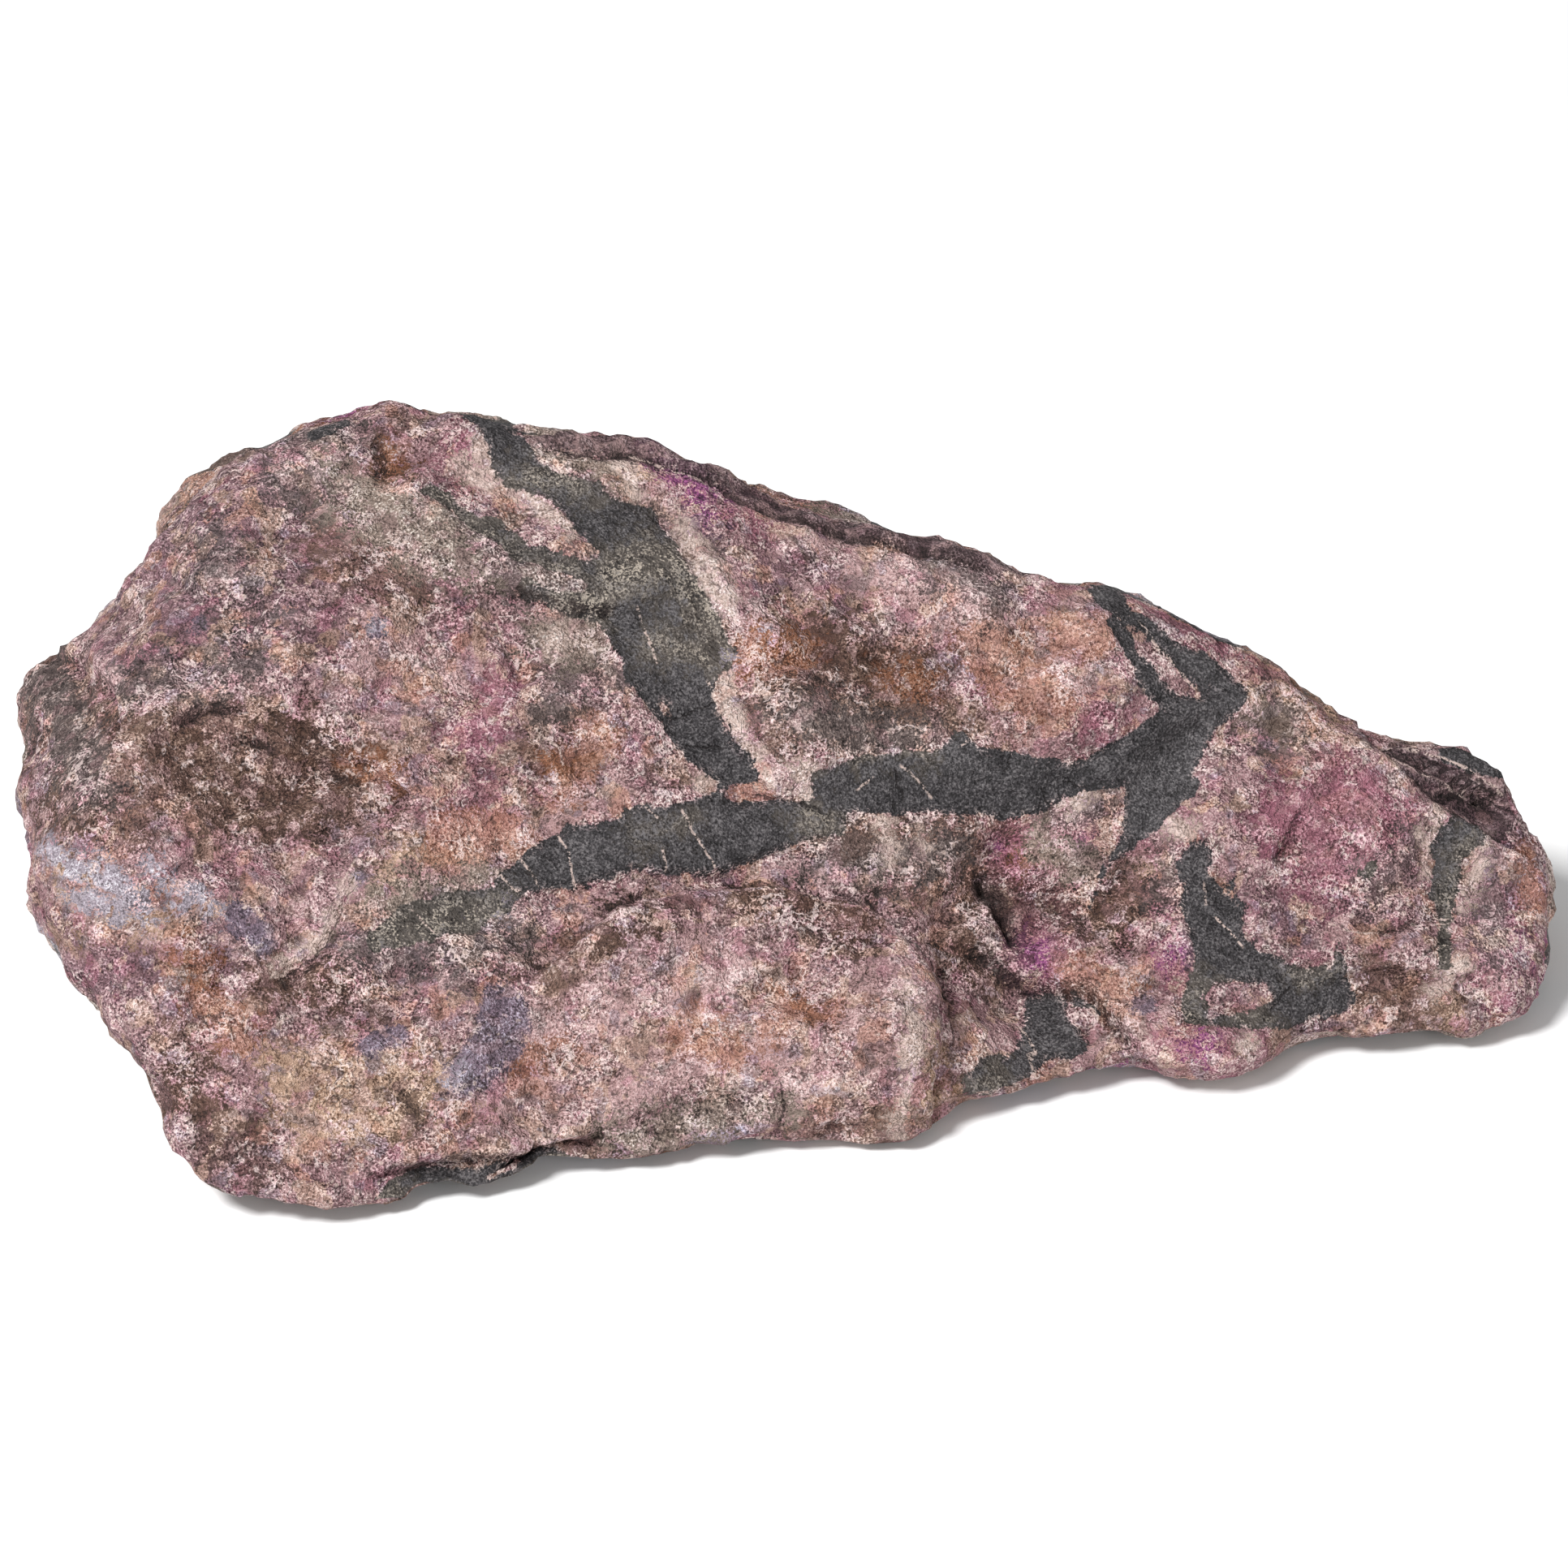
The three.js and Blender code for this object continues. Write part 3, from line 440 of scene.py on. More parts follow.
# Ledges across the face: the line, how far the side on the left of one who walks along it stands over the other
# side, before LEDGE_STRENGTH, and how far from the line that fades, both in millimetres.
LEDGES = [
    {"line": [(1690, 905), (1730, 950), (1762, 972), (1798, 1002), (1852, 1040)], "step": -1.3, "fade": 6.0},
    {"line": [(340, 1192), (372, 1170), (398, 1146), (412, 1124), (428, 1092), (442, 1068)],
     "step": 0.35, "fade": 5.0},
    {"line": [(620, 722), (660, 732), (700, 745), (760, 750), (790, 742)], "step": 0.7, "fade": 4.0},
    {"line": [(690, 1180), (760, 1122), (850, 1092), (960, 1092), (1040, 1112), (1100, 1142), (1150, 1160)],
     "step": -0.9, "fade": 6.0},
    {"line": [(1206, 1176), (1260, 1212), (1340, 1218), (1372, 1252), (1400, 1288)], "step": 1.2, "fade": 5.0},
    {"line": [(1340, 957), (1400, 908), (1450, 870), (1530, 848)], "step": -0.7, "fade": 4.0},
    {"line": [(1568, 1060), (1584, 1030), (1600, 1000)], "step": 0.5, "fade": 4.0},
    {"line": [(480, 1442), (560, 1430), (640, 1424), (700, 1408)], "step": 1.2, "fade": 4.0},
    {"line": [(222, 884), (262, 866), (320, 870), (380, 892), (440, 930), (480, 962)], "step": 0.8, "fade": 5.0},
    {"line": [(60, 800), (110, 815), (140, 850), (150, 900), (130, 950)], "step": 0.9, "fade": 5.0},
    {"line": [(905, 770), (960, 802), (1010, 790), (1060, 800)], "step": 0.5, "fade": 4.0},
    {"line": [(835, 640), (870, 690), (895, 750), (906, 775)], "step": 0.6, "fade": 4.0},
    {"line": [(884, 866), (905, 915), (937, 958)], "step": 0.6, "fade": 3.0},
    {"line": [(752, 765), (790, 853), (835, 918), (884, 955)], "step": -0.5, "fade": 3.0},
    {"line": [(640, 1102), (700, 1092), (780, 1068), (870, 1073), (990, 1036)], "step": 0.7, "fade": 4.0},
    {"line": [(1496, 1050), (1520, 1090), (1540, 1160), (1600, 1188), (1650, 1165)], "step": 0.7, "fade": 4.0},
    {"line": [(1660, 1200), (1700, 1190), (1760, 1200), (1792, 1200)], "step": 0.8, "fade": 4.0},
    {"line": [(1190, 1130), (1230, 1096), (1250, 1060)], "step": -0.8, "fade": 5.0},
    {"line": [(1290, 1190), (1330, 1160), (1350, 1110), (1395, 1040)], "step": 0.6, "fade": 4.0},
    {"line": [(560, 1300), (520, 1350), (500, 1400)], "step": 0.6, "fade": 5.0},
    {"line": [(600, 760), (630, 830), (640, 900), (700, 950)], "step": -0.5, "fade": 5.0},
    {"line": [(240, 1050), (300, 1010), (380, 1020), (450, 1000)], "step": 0.6, "fade": 5.0},
    {"line": [(640, 1430), (760, 1380), (900, 1340), (1020, 1350)], "step": 0.5, "fade": 5.0},
    {"line": [(1106, 1150), (1140, 1200), (1158, 1260), (1160, 1330), (1150, 1392)], "step": -0.8, "fade": 5.0},
    {"line": [(250, 930), (300, 905), (345, 925), (390, 930)], "step": 0.4, "fade": 3.0},
    {"line": [(300, 1000), (360, 982), (420, 966), (470, 940)], "step": -0.5, "fade": 3.0},
    {"line": [(140, 720), (200, 700), (260, 730), (330, 720)], "step": 0.4, "fade": 4.0},
    {"line": [(480, 880), (540, 850), (600, 870), (640, 850)], "step": -0.4, "fade": 4.0},
    {"line": [(1000, 690), (1060, 720), (1130, 730), (1200, 770)], "step": 0.4, "fade": 4.0},
]
LEDGE_STRENGTH = 1.15

# The same markings on the sides that the camera doesn't see: a noise's wavelength in millimetres, and how high
# the noise has to be, of 1, for the marking to cover a place.
HIDDEN_MARKINGS = {
    "faded": (9.0, 0.20), "smoky": (11.0, 0.24), "grey": (12.0, 0.35), "brown": (13.0, 0.14),
    "dark brown": (8.0, 0.30), "rust": (8.0, 0.36), "orange": (13.0, 0.28), "cream": (7.0, 0.34),
    "speckled": (10.0, 0.24), "magenta": (12.0, 0.16), "violet": (8.0, 0.46), "lavender": (12.0, 0.42),
    "crust": (10.0, 0.52), "tan": (16.0, 0.28), "pale": (15.0, 0.08), "dusky": (15.0, 0.06),
    # the shade marking on the hidden sides is painted shade in the hollows carved there
    "layered": (22.0, 1.0), "shade": (9.0, 0.58),
}
# The hidden veins run where a noise crosses 0, with a finer noise that frays them: their wavelengths in
# millimetres, the share of the finer one, and how far from 0 the vein reaches.
HIDDEN_VEIN_LENGTH = 24.0
HIDDEN_VEIN_FRAY = {"length": 9.0, "share": 0.35}
HIDDEN_VEIN_REACH = 0.1

# How finely the stone is cut.
EDGE_CUTS = 3
FIRST_SMOOTHING = 0.35
LAST_SMOOTHINGS = 2

# The relief, in millimetres: chips are flat steps with short risers, grit is plain noise.
CHIPS = [
    {"length": 9.0, "steps": 5, "height": 1.3},
    {"length": 3.4, "steps": 4, "height": 0.6},
]
CHIP_BEND = np.array([2.0, -1.4, 1.7])  # how far a broad noise bends the chips
CHIP_FRAY = 0.25  # the share of a finer noise that frays the chips' edges
GRIT = [(1.7, 0.16), (1.0, 0.12)]
VEIN_RELIEF = 0.4  # how much of the chips and grit a vein keeps
VEIN_DEPTH = 0.18
CRACK_DEPTH = 0.35
FOLD_DEPTH = 0.5  # of the "shade" markings, and how much deeper their middle is
FOLD_MIDDLE_DEPTH = 1.2
CRUST_HEIGHT = 0.15
LAYER_TILT = np.array([0.16, -0.38, 0.91])
LAYER_STEP = {"length": 2.0, "height": 0.22}
FOOT = (0.1, 2.0)  # over the floor: no relief up to the first height, all of it from the second on
EVENINGS = 6  # how often the relief is evened to tell its hollows


def eased(value, low, high):
    """0 below low, 1 above high and a smooth rise between."""
    share = np.clip((value - low) / (high - low), 0.0, 1.0)
    return share * share * (3.0 - 2.0 * share)


def seen(points):
    """Where the camera sees points given in millimetres: pixels across and down."""
    away = points - EYE
    depth = away @ AHEAD
    return PICTURE / 2 + FOCAL * away[:, 0] / depth, PICTURE / 2 - FOCAL * (away @ UPWARDS) / depth


def noise_over(points, wavelength, shift=0.0):
    """Smooth noise between -1 and 1 at points in millimetres."""
    offset = Vector((shift, shift * 0.37, -shift))
    return np.array([noise.noise(Vector(point) / wavelength + offset) for point in points])


def to_stroke(across, down, stroke):
    """Pixels from a stroke's edge, negative inside it."""
    nearest = np.full(len(across), 1e9)
    for (ax, ay, ar), (bx, by, br) in zip(stroke, stroke[1:] or stroke):
        dx, dy = bx - ax, by - ay
        share = np.clip(((across - ax) * dx + (down - ay) * dy) / max(dx * dx + dy * dy, 1e-6), 0, 1)
        gap = np.hypot(across - ax - share * dx, down - ay - share * dy) - (ar + share * (br - ar))
        nearest = np.minimum(nearest, gap)
    return nearest


def to_area(across, down, corners):
    """Pixels from an area's edge, negative inside it."""
    nearest = np.full(len(across), 1e9)
    inside = np.zeros(len(across), bool)
    for (ax, ay), (bx, by) in zip(corners, corners[1:] + corners[:1]):
        dx, dy = bx - ax, by - ay
        share = np.clip(((across - ax) * dx + (down - ay) * dy) / (dx * dx + dy * dy), 0, 1)
        nearest = np.minimum(nearest, np.hypot(across - ax - share * dx, down - ay - share * dy))
        if dy:
            inside ^= ((ay > down) != (by > down)) & (across < ax + (down - ay) * dx / dy)
    return np.where(inside, -nearest, nearest)


def to_marking(across, down, shapes):
    """Millimetres from the nearest of a marking's shapes, negative inside."""
    measures = [(to_area if len(shape[0]) == 2 else to_stroke)(across, down, shape) for shape in shapes]
    return np.min(measures, axis=0) / PIXELS_PER_MM


def to_lines(across, down, lines):
    """Millimetres to the nearest line, and the same to its side: above 0 on its left, below 0 on its right."""
    nearest = np.full(len(across), 1e9)
    side = np.zeros(len(across))
    for line in lines:
        for (ax, ay), (bx, by) in zip(line, line[1:]):
            dx, dy = bx - ax, by - ay
            share = np.clip(((across - ax) * dx + (down - ay) * dy) / (dx * dx + dy * dy), 0, 1)
            gap = np.hypot(across - ax - share * dx, down - ay - share * dy)
            turned = ((across - ax) * dy - (down - ay) * dx) / np.hypot(dx, dy)
            side = np.where(gap < nearest, turned, side)
            nearest = np.minimum(nearest, gap)
    return nearest / PIXELS_PER_MM, side / PIXELS_PER_MM


def facing_camera(points, normals):
    """1 where the surface faces the camera, 0 where it faces away."""
    towards = EYE - points
    towards /= np.linalg.norm(towards, axis=1)[:, None]
    return eased(np.sum(towards * normals, axis=1), 0.02, 0.16)


def positions(mesh):
    flat = np.empty(3 * len(mesh.vertices))
    mesh.vertices.foreach_get("co", flat)
    return flat.reshape(-1, 3) / MM


def outward_normals(mesh):
    flat = np.empty(3 * len(mesh.vertices))
    mesh.vertices.foreach_get("normal", flat)
    return flat.reshape(-1, 3)


def evened(mesh, values, times):
    """Values at the mesh's points, averaged with their neighbours' a number of times."""
    ends = np.empty(2 * len(mesh.edges), int)
    mesh.edges.foreach_get("vertices", ends)
    first, second = ends.reshape(-1, 2).T
    count = np.bincount(first, minlength=len(values)) + np.bincount(second, minlength=len(values))
    for _ in range(times):
        total = np.bincount(first, values[second], len(values))
        total += np.bincount(second, values[first], len(values))
        values = 0.5 * values + 0.5 * total / count
    return values


def keep_on_mesh(mesh, name, values):
    layer = mesh.attributes.new(name, "FLOAT", "POINT")
    layer.data.foreach_set("value", values.astype(np.float32))


def smooth(work, factor):
    bmesh.ops.smooth_vert(
        work, verts=work.verts, factor=factor, use_axis_x=True, use_axis_y=True, use_axis_z=True
    )


def finely_cut_stone(name, solid):
    """The solid's surface as a fine closed mesh."""
    work = bmesh.new()
    work.from_mesh(solid.data)
    bmesh.ops.remove_doubles(work, verts=work.verts, dist=0.01 * MM)
    smooth(work, FIRST_SMOOTHING)
    bmesh.ops.subdivide_edges(work, edges=work.edges, cuts=EDGE_CUTS, use_grid_fill=True)
    for _ in range(LAST_SMOOTHINGS):
        smooth(work, 0.5)
    bmesh.ops.recalc_face_normals(work, faces=work.faces)
    mesh = bpy.data.meshes.new(name)
    work.to_mesh(mesh)
    work.free()
    stone = bpy.data.objects.new(name, mesh)
    bpy.context.scene.collection.objects.link(stone)
    return stone


def lay_out_markings(mesh):
    """Keeps each marking's distance in millimetres on the mesh, and gives the distances back."""
    points = positions(mesh)
    across, down = seen(points)
    shown = facing_camera(points, outward_normals(mesh))
    found = {name: to_marking(across, down, shapes) for name, shapes in MARKINGS.items()}
    found["vein"] = np.maximum(found["vein"], -found.pop("island"))
    fray = np.abs(noise_over(points, HIDDEN_VEIN_FRAY["length"], 5.7))
    swirl = np.abs(noise_over(points, HIDDEN_VEIN_LENGTH, 3.1)) + HIDDEN_VEIN_FRAY["share"] * fray
    hidden_vein = (swirl - HIDDEN_VEIN_REACH) * HIDDEN_VEIN_LENGTH * 0.6
    found["vein"] = shown * found["vein"] + (1 - shown) * hidden_vein
    for number, (name, (length, least)) in enumerate(HIDDEN_MARKINGS.items()):
        hidden = (least - noise_over(points, length, 11.0 + 7.0 * number)) * length * 0.5
        found[name] = shown * found[name] + (1 - shown) * hidden
    for name, lines in LINES.items():
        away, found[name + " side"] = to_lines(across, down, lines)
        found[name] = away + FURTHEST * (1 - shown)
    for name, distance in found.items():
        keep_on_mesh(mesh, name, np.clip(distance, -FURTHEST, FURTHEST))
    found["ledges"] = shown * ledge_height(across, down)
    return found


def ledge_height(across, down):
    """How far the ledges raise the surface, in millimetres."""
    height = np.zeros(len(across))
    for ledge in LEDGES:
        away, side = to_lines(across, down, [ledge["line"]])
        fading = 1 - eased(away, 0.15 * ledge["fade"], ledge["fade"])
        height += ledge["step"] * (eased(side, -0.25, 0.25) - 0.5) * fading
    return LEDGE_STRENGTH * height


def stepped(value, steps):
    """Noise turned into flat steps with short risers between them."""
    level = np.floor(value * steps)
    return (level + eased(value * steps - level, 0.7, 1.0)) / steps


def chips_and_grit(points):
    height = np.zeros(len(points))
    bend = noise_over(points, 12.0, 1.3)[:, None] * CHIP_BEND
    for number, chip in enumerate(CHIPS):
        rough = noise_over(points + bend, chip["length"], 2.0 + number)
        rough += CHIP_FRAY * noise_over(points, chip["length"] / 3, 6.0)
        height += chip["height"] * stepped(rough, chip["steps"])
    for number, (length, size) in enumerate(GRIT):
        height += size * noise_over(points, length, 9.0 + number)
    return height


def layer_height(points, found):
    """The uneven waves of the layered edge, strongest inside that marking."""
    in_layers = 1 - eased(found["layered"], -0.5, 1.0)
    in_layers *= 0.5 + noise_over(points, 7.0, 14.0)
    across_layers = points @ LAYER_TILT + 1.6 * noise_over(points, 5.0, 4.0)
    return LAYER_STEP["height"] * in_layers * np.sin(2 * np.pi * across_layers / LAYER_STEP["length"])


def relief_height(points, found):
    """How far the surface stands out at each point, in millimetres."""
    in_vein = 1 - eased(found["vein"], -0.4, 0.6)
    height = chips_and_grit(points) * (1 - (1 - VEIN_RELIEF) * in_vein)
    height += found["ledges"] - VEIN_DEPTH * in_vein
    height += layer_height(points, found)
    height -= CRACK_DEPTH * (1 - eased(found["crack"], 0.0, 0.5))
    height -= FOLD_DEPTH * (1 - eased(found["shade"], -0.4, 0.5))
    height -= FOLD_MIDDLE_DEPTH * (1 - eased(found["shade"], -0.8, -0.2))
    height += CRUST_HEIGHT * (1 - eased(found["crust"], -0.3, 0.3))
    return height


def roughen(mesh, found):
    """Moves the mesh's points along their normals by the relief, and keeps how hollow each place is, which the
    rock's colour turns into painted shade in hollows and painted light on ridges.
    """
    points = positions(mesh)
    height = relief_height(points, found)
    moved = points + outward_normals(mesh) * (height * eased(points[:, 2], *FOOT))[:, None]
    moved[:, 2] = np.maximum(moved[:, 2], 0.0)
    mesh.vertices.foreach_set("co", (moved * MM).ravel())
    mesh.update()
    keep_on_mesh(mesh, "standing", height - evened(mesh, height, EVENINGS))


class Wire:
    """A node's output. Sums and products of wires and numbers add Math nodes."""

    def __init__(self, sheet, socket):
        self.sheet, self.socket = sheet, socket

    def math(self, operation, first, second=0.0):
        return self.sheet.node("ShaderNodeMath", {"operation": operation}, {0: first, 1: second})

    def through(self, operation):
        """This value through an operation that takes one value."""
        return self.math(operation, self)

    def __add__(self, other):
        return self.math("ADD", self, other)

    def __radd__(self, other):
        return self.math("ADD", other, self)

    def __sub__(self, other):
        return self.math("SUBTRACT", self, other)

    def __rsub__(self, other):
        return self.math("SUBTRACT", other, self)

    def __mul__(self, other):
        return self.math("MULTIPLY", self, other)

    def __rmul__(self, other):
        return self.math("MULTIPLY", other, self)

    def __abs__(self):
        return self.through("ABSOLUTE")


class NodeSheet:
    """One material's nodes."""

    def __init__(self, name):
        self.material = bpy.data.materials.new(name)
        self.material.use_nodes = True
        self.tree = self.material.node_tree
        self.tree.nodes.clear()

    def node(self, kind, settings=None, values=None, output=0):
        made = self.tree.nodes.new(kind)
        for name, setting in (settings or {}).items():
            if name == "stops":
                self.set_stops(made.color_ramp, setting)
            else:
                setattr(made, name, setting)
        for name, value in (values or {}).items():
            if isinstance(value, Wire):
                self.tree.links.new(value.socket, made.inputs[name])
            else:
                made.inputs[name].default_value = value
        return Wire(self, made.outputs[output]) if made.outputs else None

    def set_stops(self, ramp, stops):
        while len(ramp.elements) < len(stops):
            ramp.elements.new(0.5)
        for stop, (position, colour) in zip(ramp.elements, stops):
            stop.position = position
            stop.color = colour

    def spread(self, value, low, high):
        """0 where the value is low, 1 where it is high and a smooth change between."""
        return self.node(
            "ShaderNodeMapRange",
            {"interpolation_type": "SMOOTHSTEP"},
            {"Value": value, "From Min": low, "From Max": high, "To Min": 0.0, "To Max": 1.0},
        )

    def mixed(self, share, first, second):
        """Two colours mixed. Factor, A and B of a colour are a Mix node's sockets 0, 6 and 7."""
        return self.node("ShaderNodeMix", {"data_type": "RGBA"}, {0: share, 6: first, 7: second}, output=2)

    def kept(self, name):
        return self.node("ShaderNodeAttribute", {"attribute_name": name}, output="Fac")

    def finish(self, values):
        skin = self.node("ShaderNodeBsdfPrincipled", {}, values)
        self.node("ShaderNodeOutputMaterial", {}, {"Surface": skin})
        return self.material


def paint(red, green, blue):
    """A colour as the eye sees it, 0 to 255, turned into the light that the surface gives back."""
    parts = [value / 255 for value in (red, green, blue)]
    linear = [part / 12.92 if part < 0.04045 else ((part + 0.055) / 1.055) ** 2.4 for part in parts]
    return (*linear, 1.0)


# The stone's finishes, each the colour of its hollows, its plain face and its grains; the hollows' colour is
# partly painted shade, and the shade finish serves as painted shade.
FINISHES = {
    "pink": (paint(60, 36, 39), paint(151, 117, 120), paint(230, 202, 201)),
    "dusky": (paint(50, 31, 35), paint(124, 94, 100), paint(200, 170, 176)),
    "pale": (paint(96, 66, 64), paint(188, 155, 153), paint(246, 224, 220)),
    "tan": (paint(104, 76, 58), paint(182, 152, 131), paint(236, 212, 192)),
    "magenta": (paint(78, 36, 47), paint(150, 93, 109), paint(228, 174, 190)),
    "violet": (paint(66, 24, 66), paint(146, 70, 132), paint(214, 146, 206)),
    "brown": (paint(38, 25, 19), paint(110, 84, 73), paint(190, 163, 149)),
    "dark brown": (paint(27, 17, 13), paint(78, 57, 46), paint(148, 121, 107)),
    "orange": (paint(104, 60, 44), paint(176, 130, 110), paint(232, 192, 172)),
    "rust": (paint(58, 32, 20), paint(142, 92, 66), paint(204, 156, 128)),
    "lavender": (paint(44, 38, 48), paint(118, 102, 116), paint(196, 190, 208)),
    "speckled": (paint(46, 40, 34), paint(146, 130, 120), paint(246, 238, 228)),
    "smoky": (paint(30, 27, 27), paint(96, 86, 85), paint(184, 172, 168)),
    "cream": (paint(116, 96, 86), paint(202, 180, 171), paint(248, 240, 234)),
    "vein": (paint(26, 24, 25), paint(58, 55, 57), paint(104, 100, 101)),
    # the veins' paler part, partly painted sheen
    "grey": (paint(38, 36, 37), paint(70, 67, 69), paint(116, 112, 113)),
    "faded": (paint(30, 27, 25), paint(94, 86, 79), paint(184, 172, 158)),
    "crust": (paint(82, 74, 80), paint(160, 150, 160), paint(244, 244, 250)),
    "layered": (paint(32, 23, 26), paint(92, 72, 76), paint(166, 144, 146)),
    # painted shade, for the shade strokes, folds, cracks, creases, pits and the feet of steps
    "shade": (paint(22, 16, 16), paint(50, 38, 36), paint(100, 84, 80)),
}

FINISH_STOPS = (0.04, 0.5, 1.0)  # how light the rock is where each of the three is plain

# Blotches all over the rock: the finish, the noise's wavelength in millimetres, the least noise that shows it,
# and its strength.
BLOTCHES = [
    ("pale", 3.4, 0.07, 0.4), ("tan", 3.0, 0.05, 0.5), ("magenta", 2.6, 0.06, 0.45),
    ("orange", 3.2, 0.10, 0.5), ("smoky", 2.4, 0.10, 0.45), ("lavender", 2.2, 0.11, 0.45),
    ("dark brown", 1.6, 0.12, 0.5),
]
# Spots where the patches have worn off.
BARE_SPOTS = [("pink", 2.0, 0.07, 0.3), ("pale", 1.4, 0.14, 0.4)]

# The markings that are patches: how many millimetres soft the edge is, how much it strays and crumbles, and the
# patch's strength. The grounds lie under the blotches, the other patches over them.
GROUNDS = {"dusky": (3.0, 2.0, 1.0, 1.0), "pale": (3.0, 2.0, 1.0, 0.8), "tan": (2.4, 1.6, 1.0, 0.9)}
PATCHES = {
    "magenta": (1.8, 1.6, 1.2, 0.65), "violet": (1.0, 1.4, 1.6, 0.7), "brown": (1.4, 2.2, 1.2, 0.75),
    "dark brown": (1.0, 1.8, 1.2, 0.65), "orange": (1.0, 1.0, 0.8, 0.65), "rust": (1.2, 1.4, 1.2, 0.7),
    "lavender": (0.5, 0.4, 0.4, 0.9), "smoky": (1.8, 1.6, 1.4, 0.75), "speckled": (1.4, 1.4, 1.2, 0.85),
    "cream": (0.6, 0.8, 0.6, 0.85),
}


LEAF_THICKNESS = 1.1  # of the layered back edge, in millimetres


class Rock(NodeSheet):
    """The rock's nodes: the noises that all of it shares, and its markings and finishes."""

    def __init__(self, name):
        super().__init__(name)
        place = self.node("ShaderNodeTexCoord", output="Object")
        self.in_mm = self.node("ShaderNodeMapping", {}, {"Vector": place, "Scale": (1 / MM, 1 / MM, 1 / MM)})
        self.broad = self.cloud(12.0, 2.0, 0.5, 31.0)
        self.mottle = self.cloud(2.8, 3.0, 0.62, 5.0)
        self.speckle = self.cloud(0.9, 2.0, 0.62, 77.0)
        self.grain = self.cloud(0.19, 1.0, 0.7, 13.0)
        self.streaks = self.cloud(2.4, 3.0, 0.65, 51.0, 0.6, 4.0)
        self.fold = abs(self.cloud(4.6, 3.0, 0.55, 61.0))
        self.wrinkle = abs(self.cloud(1.9, 2.0, 0.6, 23.0))
        self.thread = abs(self.cloud(3.3, 4.0, 0.62, 17.0))
        terrace = self.cloud(3.8, 3.0, 0.62, 45.0) * 11.0
        self.level = terrace.through("FLOOR")
        self.riser = terrace.through("FRACT")
        self.flake = (self.level * 0.618).through("FRACT") - 0.5
        self.shard = self.shards(2.6, 5.0, 0.7)
        self.stray = self.mottle * 4.2 + self.speckle * 2.4 + self.grain * 0.8
        self.stray = self.stray + self.flake * 0.8 + self.shard * 0.5
        self.crumbs = self.speckle * 1.6 + self.grain * 3.4
        self.tone = self.rock_tone()

    def cloud(self, length, detail, rough, shift, turn=0.0, squeeze=1.0):
        """Noise about 0 of a wavelength in millimetres, squeezed across a direction turned in plan."""
        turned = self.node("ShaderNodeMapping", {}, {"Vector": self.in_mm, "Rotation": (0.0, 0.0, turn)})
        moves = {"Vector": turned, "Scale": (1.0, squeeze, squeeze), "Location": (shift, -shift, shift)}
        moved = self.node("ShaderNodeMapping", {}, moves)
        values = {"Vector": moved, "Scale": 1 / length, "Detail": detail, "Roughness": rough}
        return self.node("ShaderNodeTexNoise", {"noise_dimensions": "3D"}, values) - 0.5

    def dots(self, length, shift, size):
        """1 in dots that lie about a length apart, and 0 between them."""
        moved = self.node("ShaderNodeMapping", {}, {"Vector": self.in_mm, "Location": (shift, -shift, shift)})
        away = self.node("ShaderNodeTexVoronoi", {}, {"Vector": moved, "Scale": 1 / length}, output="Distance")
        return self.spread(away + self.speckle * 0.5, size / length, 0.6 * size / length)

    def shards(self, length, shift, turn):
        """A level about 0 for each of the angular shards that the rock breaks into."""
        turned = self.node("ShaderNodeMapping", {}, {"Vector": self.in_mm, "Rotation": (0.3, 0.4, turn)})
        moves = {"Vector": turned, "Scale": (1.0, 2.2, 1.6), "Location": (shift, -shift, shift)}
        moved = self.node("ShaderNodeMapping", {}, moves)
        shade = self.node("ShaderNodeTexVoronoi", {}, {"Vector": moved, "Scale": 1 / length}, output="Color")
        return self.node("ShaderNodeSeparateColor", {}, {"Color": shade}, output="Red") - 0.5

    def rock_tone(self):
        """How light the rock is: about 0 in its hollows, 0.5 on its plain face and 1 on its grains. The kept
        relief adds painted shade in hollows and painted light on ridges.
        """
        net = self.spread(abs(self.speckle), 0.05, 0.0) * self.spread(self.streaks, -0.06, 0.1)
        tone = 0.455 + self.broad * 0.3 + self.mottle * 0.35 + self.speckle * 0.3 + self.streaks * 0.4
        tone = tone + self.flake * 0.12 + net * 0.14 + self.grain * 1.6 * (1 + self.mottle * 3.5)
        # painted shade in the mesh's hollows and painted light on its ridges, from how far each place stands out
        # from its neighbours
        return tone + self.shard * 0.13 + self.kept("standing") * 0.4

    def within(self, name, soft, strays, crumbles):
        """1 inside a kept marking and 0 outside. The edge strays, crumbles, and is soft millimetres wide."""
        distance = self.kept(name) + self.stray * strays + self.crumbs * crumbles
        return self.spread(distance, soft / 2, -soft / 2)

    def thin_line(self, name, wander, half_width, core):
        """1 in the core of a kept line, and 0 past its half width, both in millimetres. The line wanders."""
        beside = self.spread(abs(self.kept(name + " side") + self.speckle * wander), half_width, core)
        return beside * self.spread(self.kept(name), 0.5, 0.2)

    def finish_of(self, name, tone=None):
        """A finish's colour where the rock is as light as the tone says, or else its own tone."""
        stops = list(zip(FINISH_STOPS, FINISHES[name]))
        return self.node("ShaderNodeValToRGB", {"stops": stops}, {"Fac": tone or self.tone})

    def leaves(self):
        """Waves between -1 and 1 across the leaves of the layered edge."""
        ends = {0: self.in_mm, 1: tuple(LAYER_TILT)}
        across = self.node("ShaderNodeVectorMath", {"operation": "DOT_PRODUCT"}, ends, output="Value")
        return (across * (2 * np.pi / LEAF_THICKNESS) + self.mottle * 5.0 + self.speckle * 2.0).through("SINE")


def with_patches(rock, colour, patches):
    for name, (soft, strays, crumbles, most) in patches.items():
        colour = rock.mixed(rock.within(name, soft, strays, crumbles) * most, colour, rock.finish_of(name))
    return colour


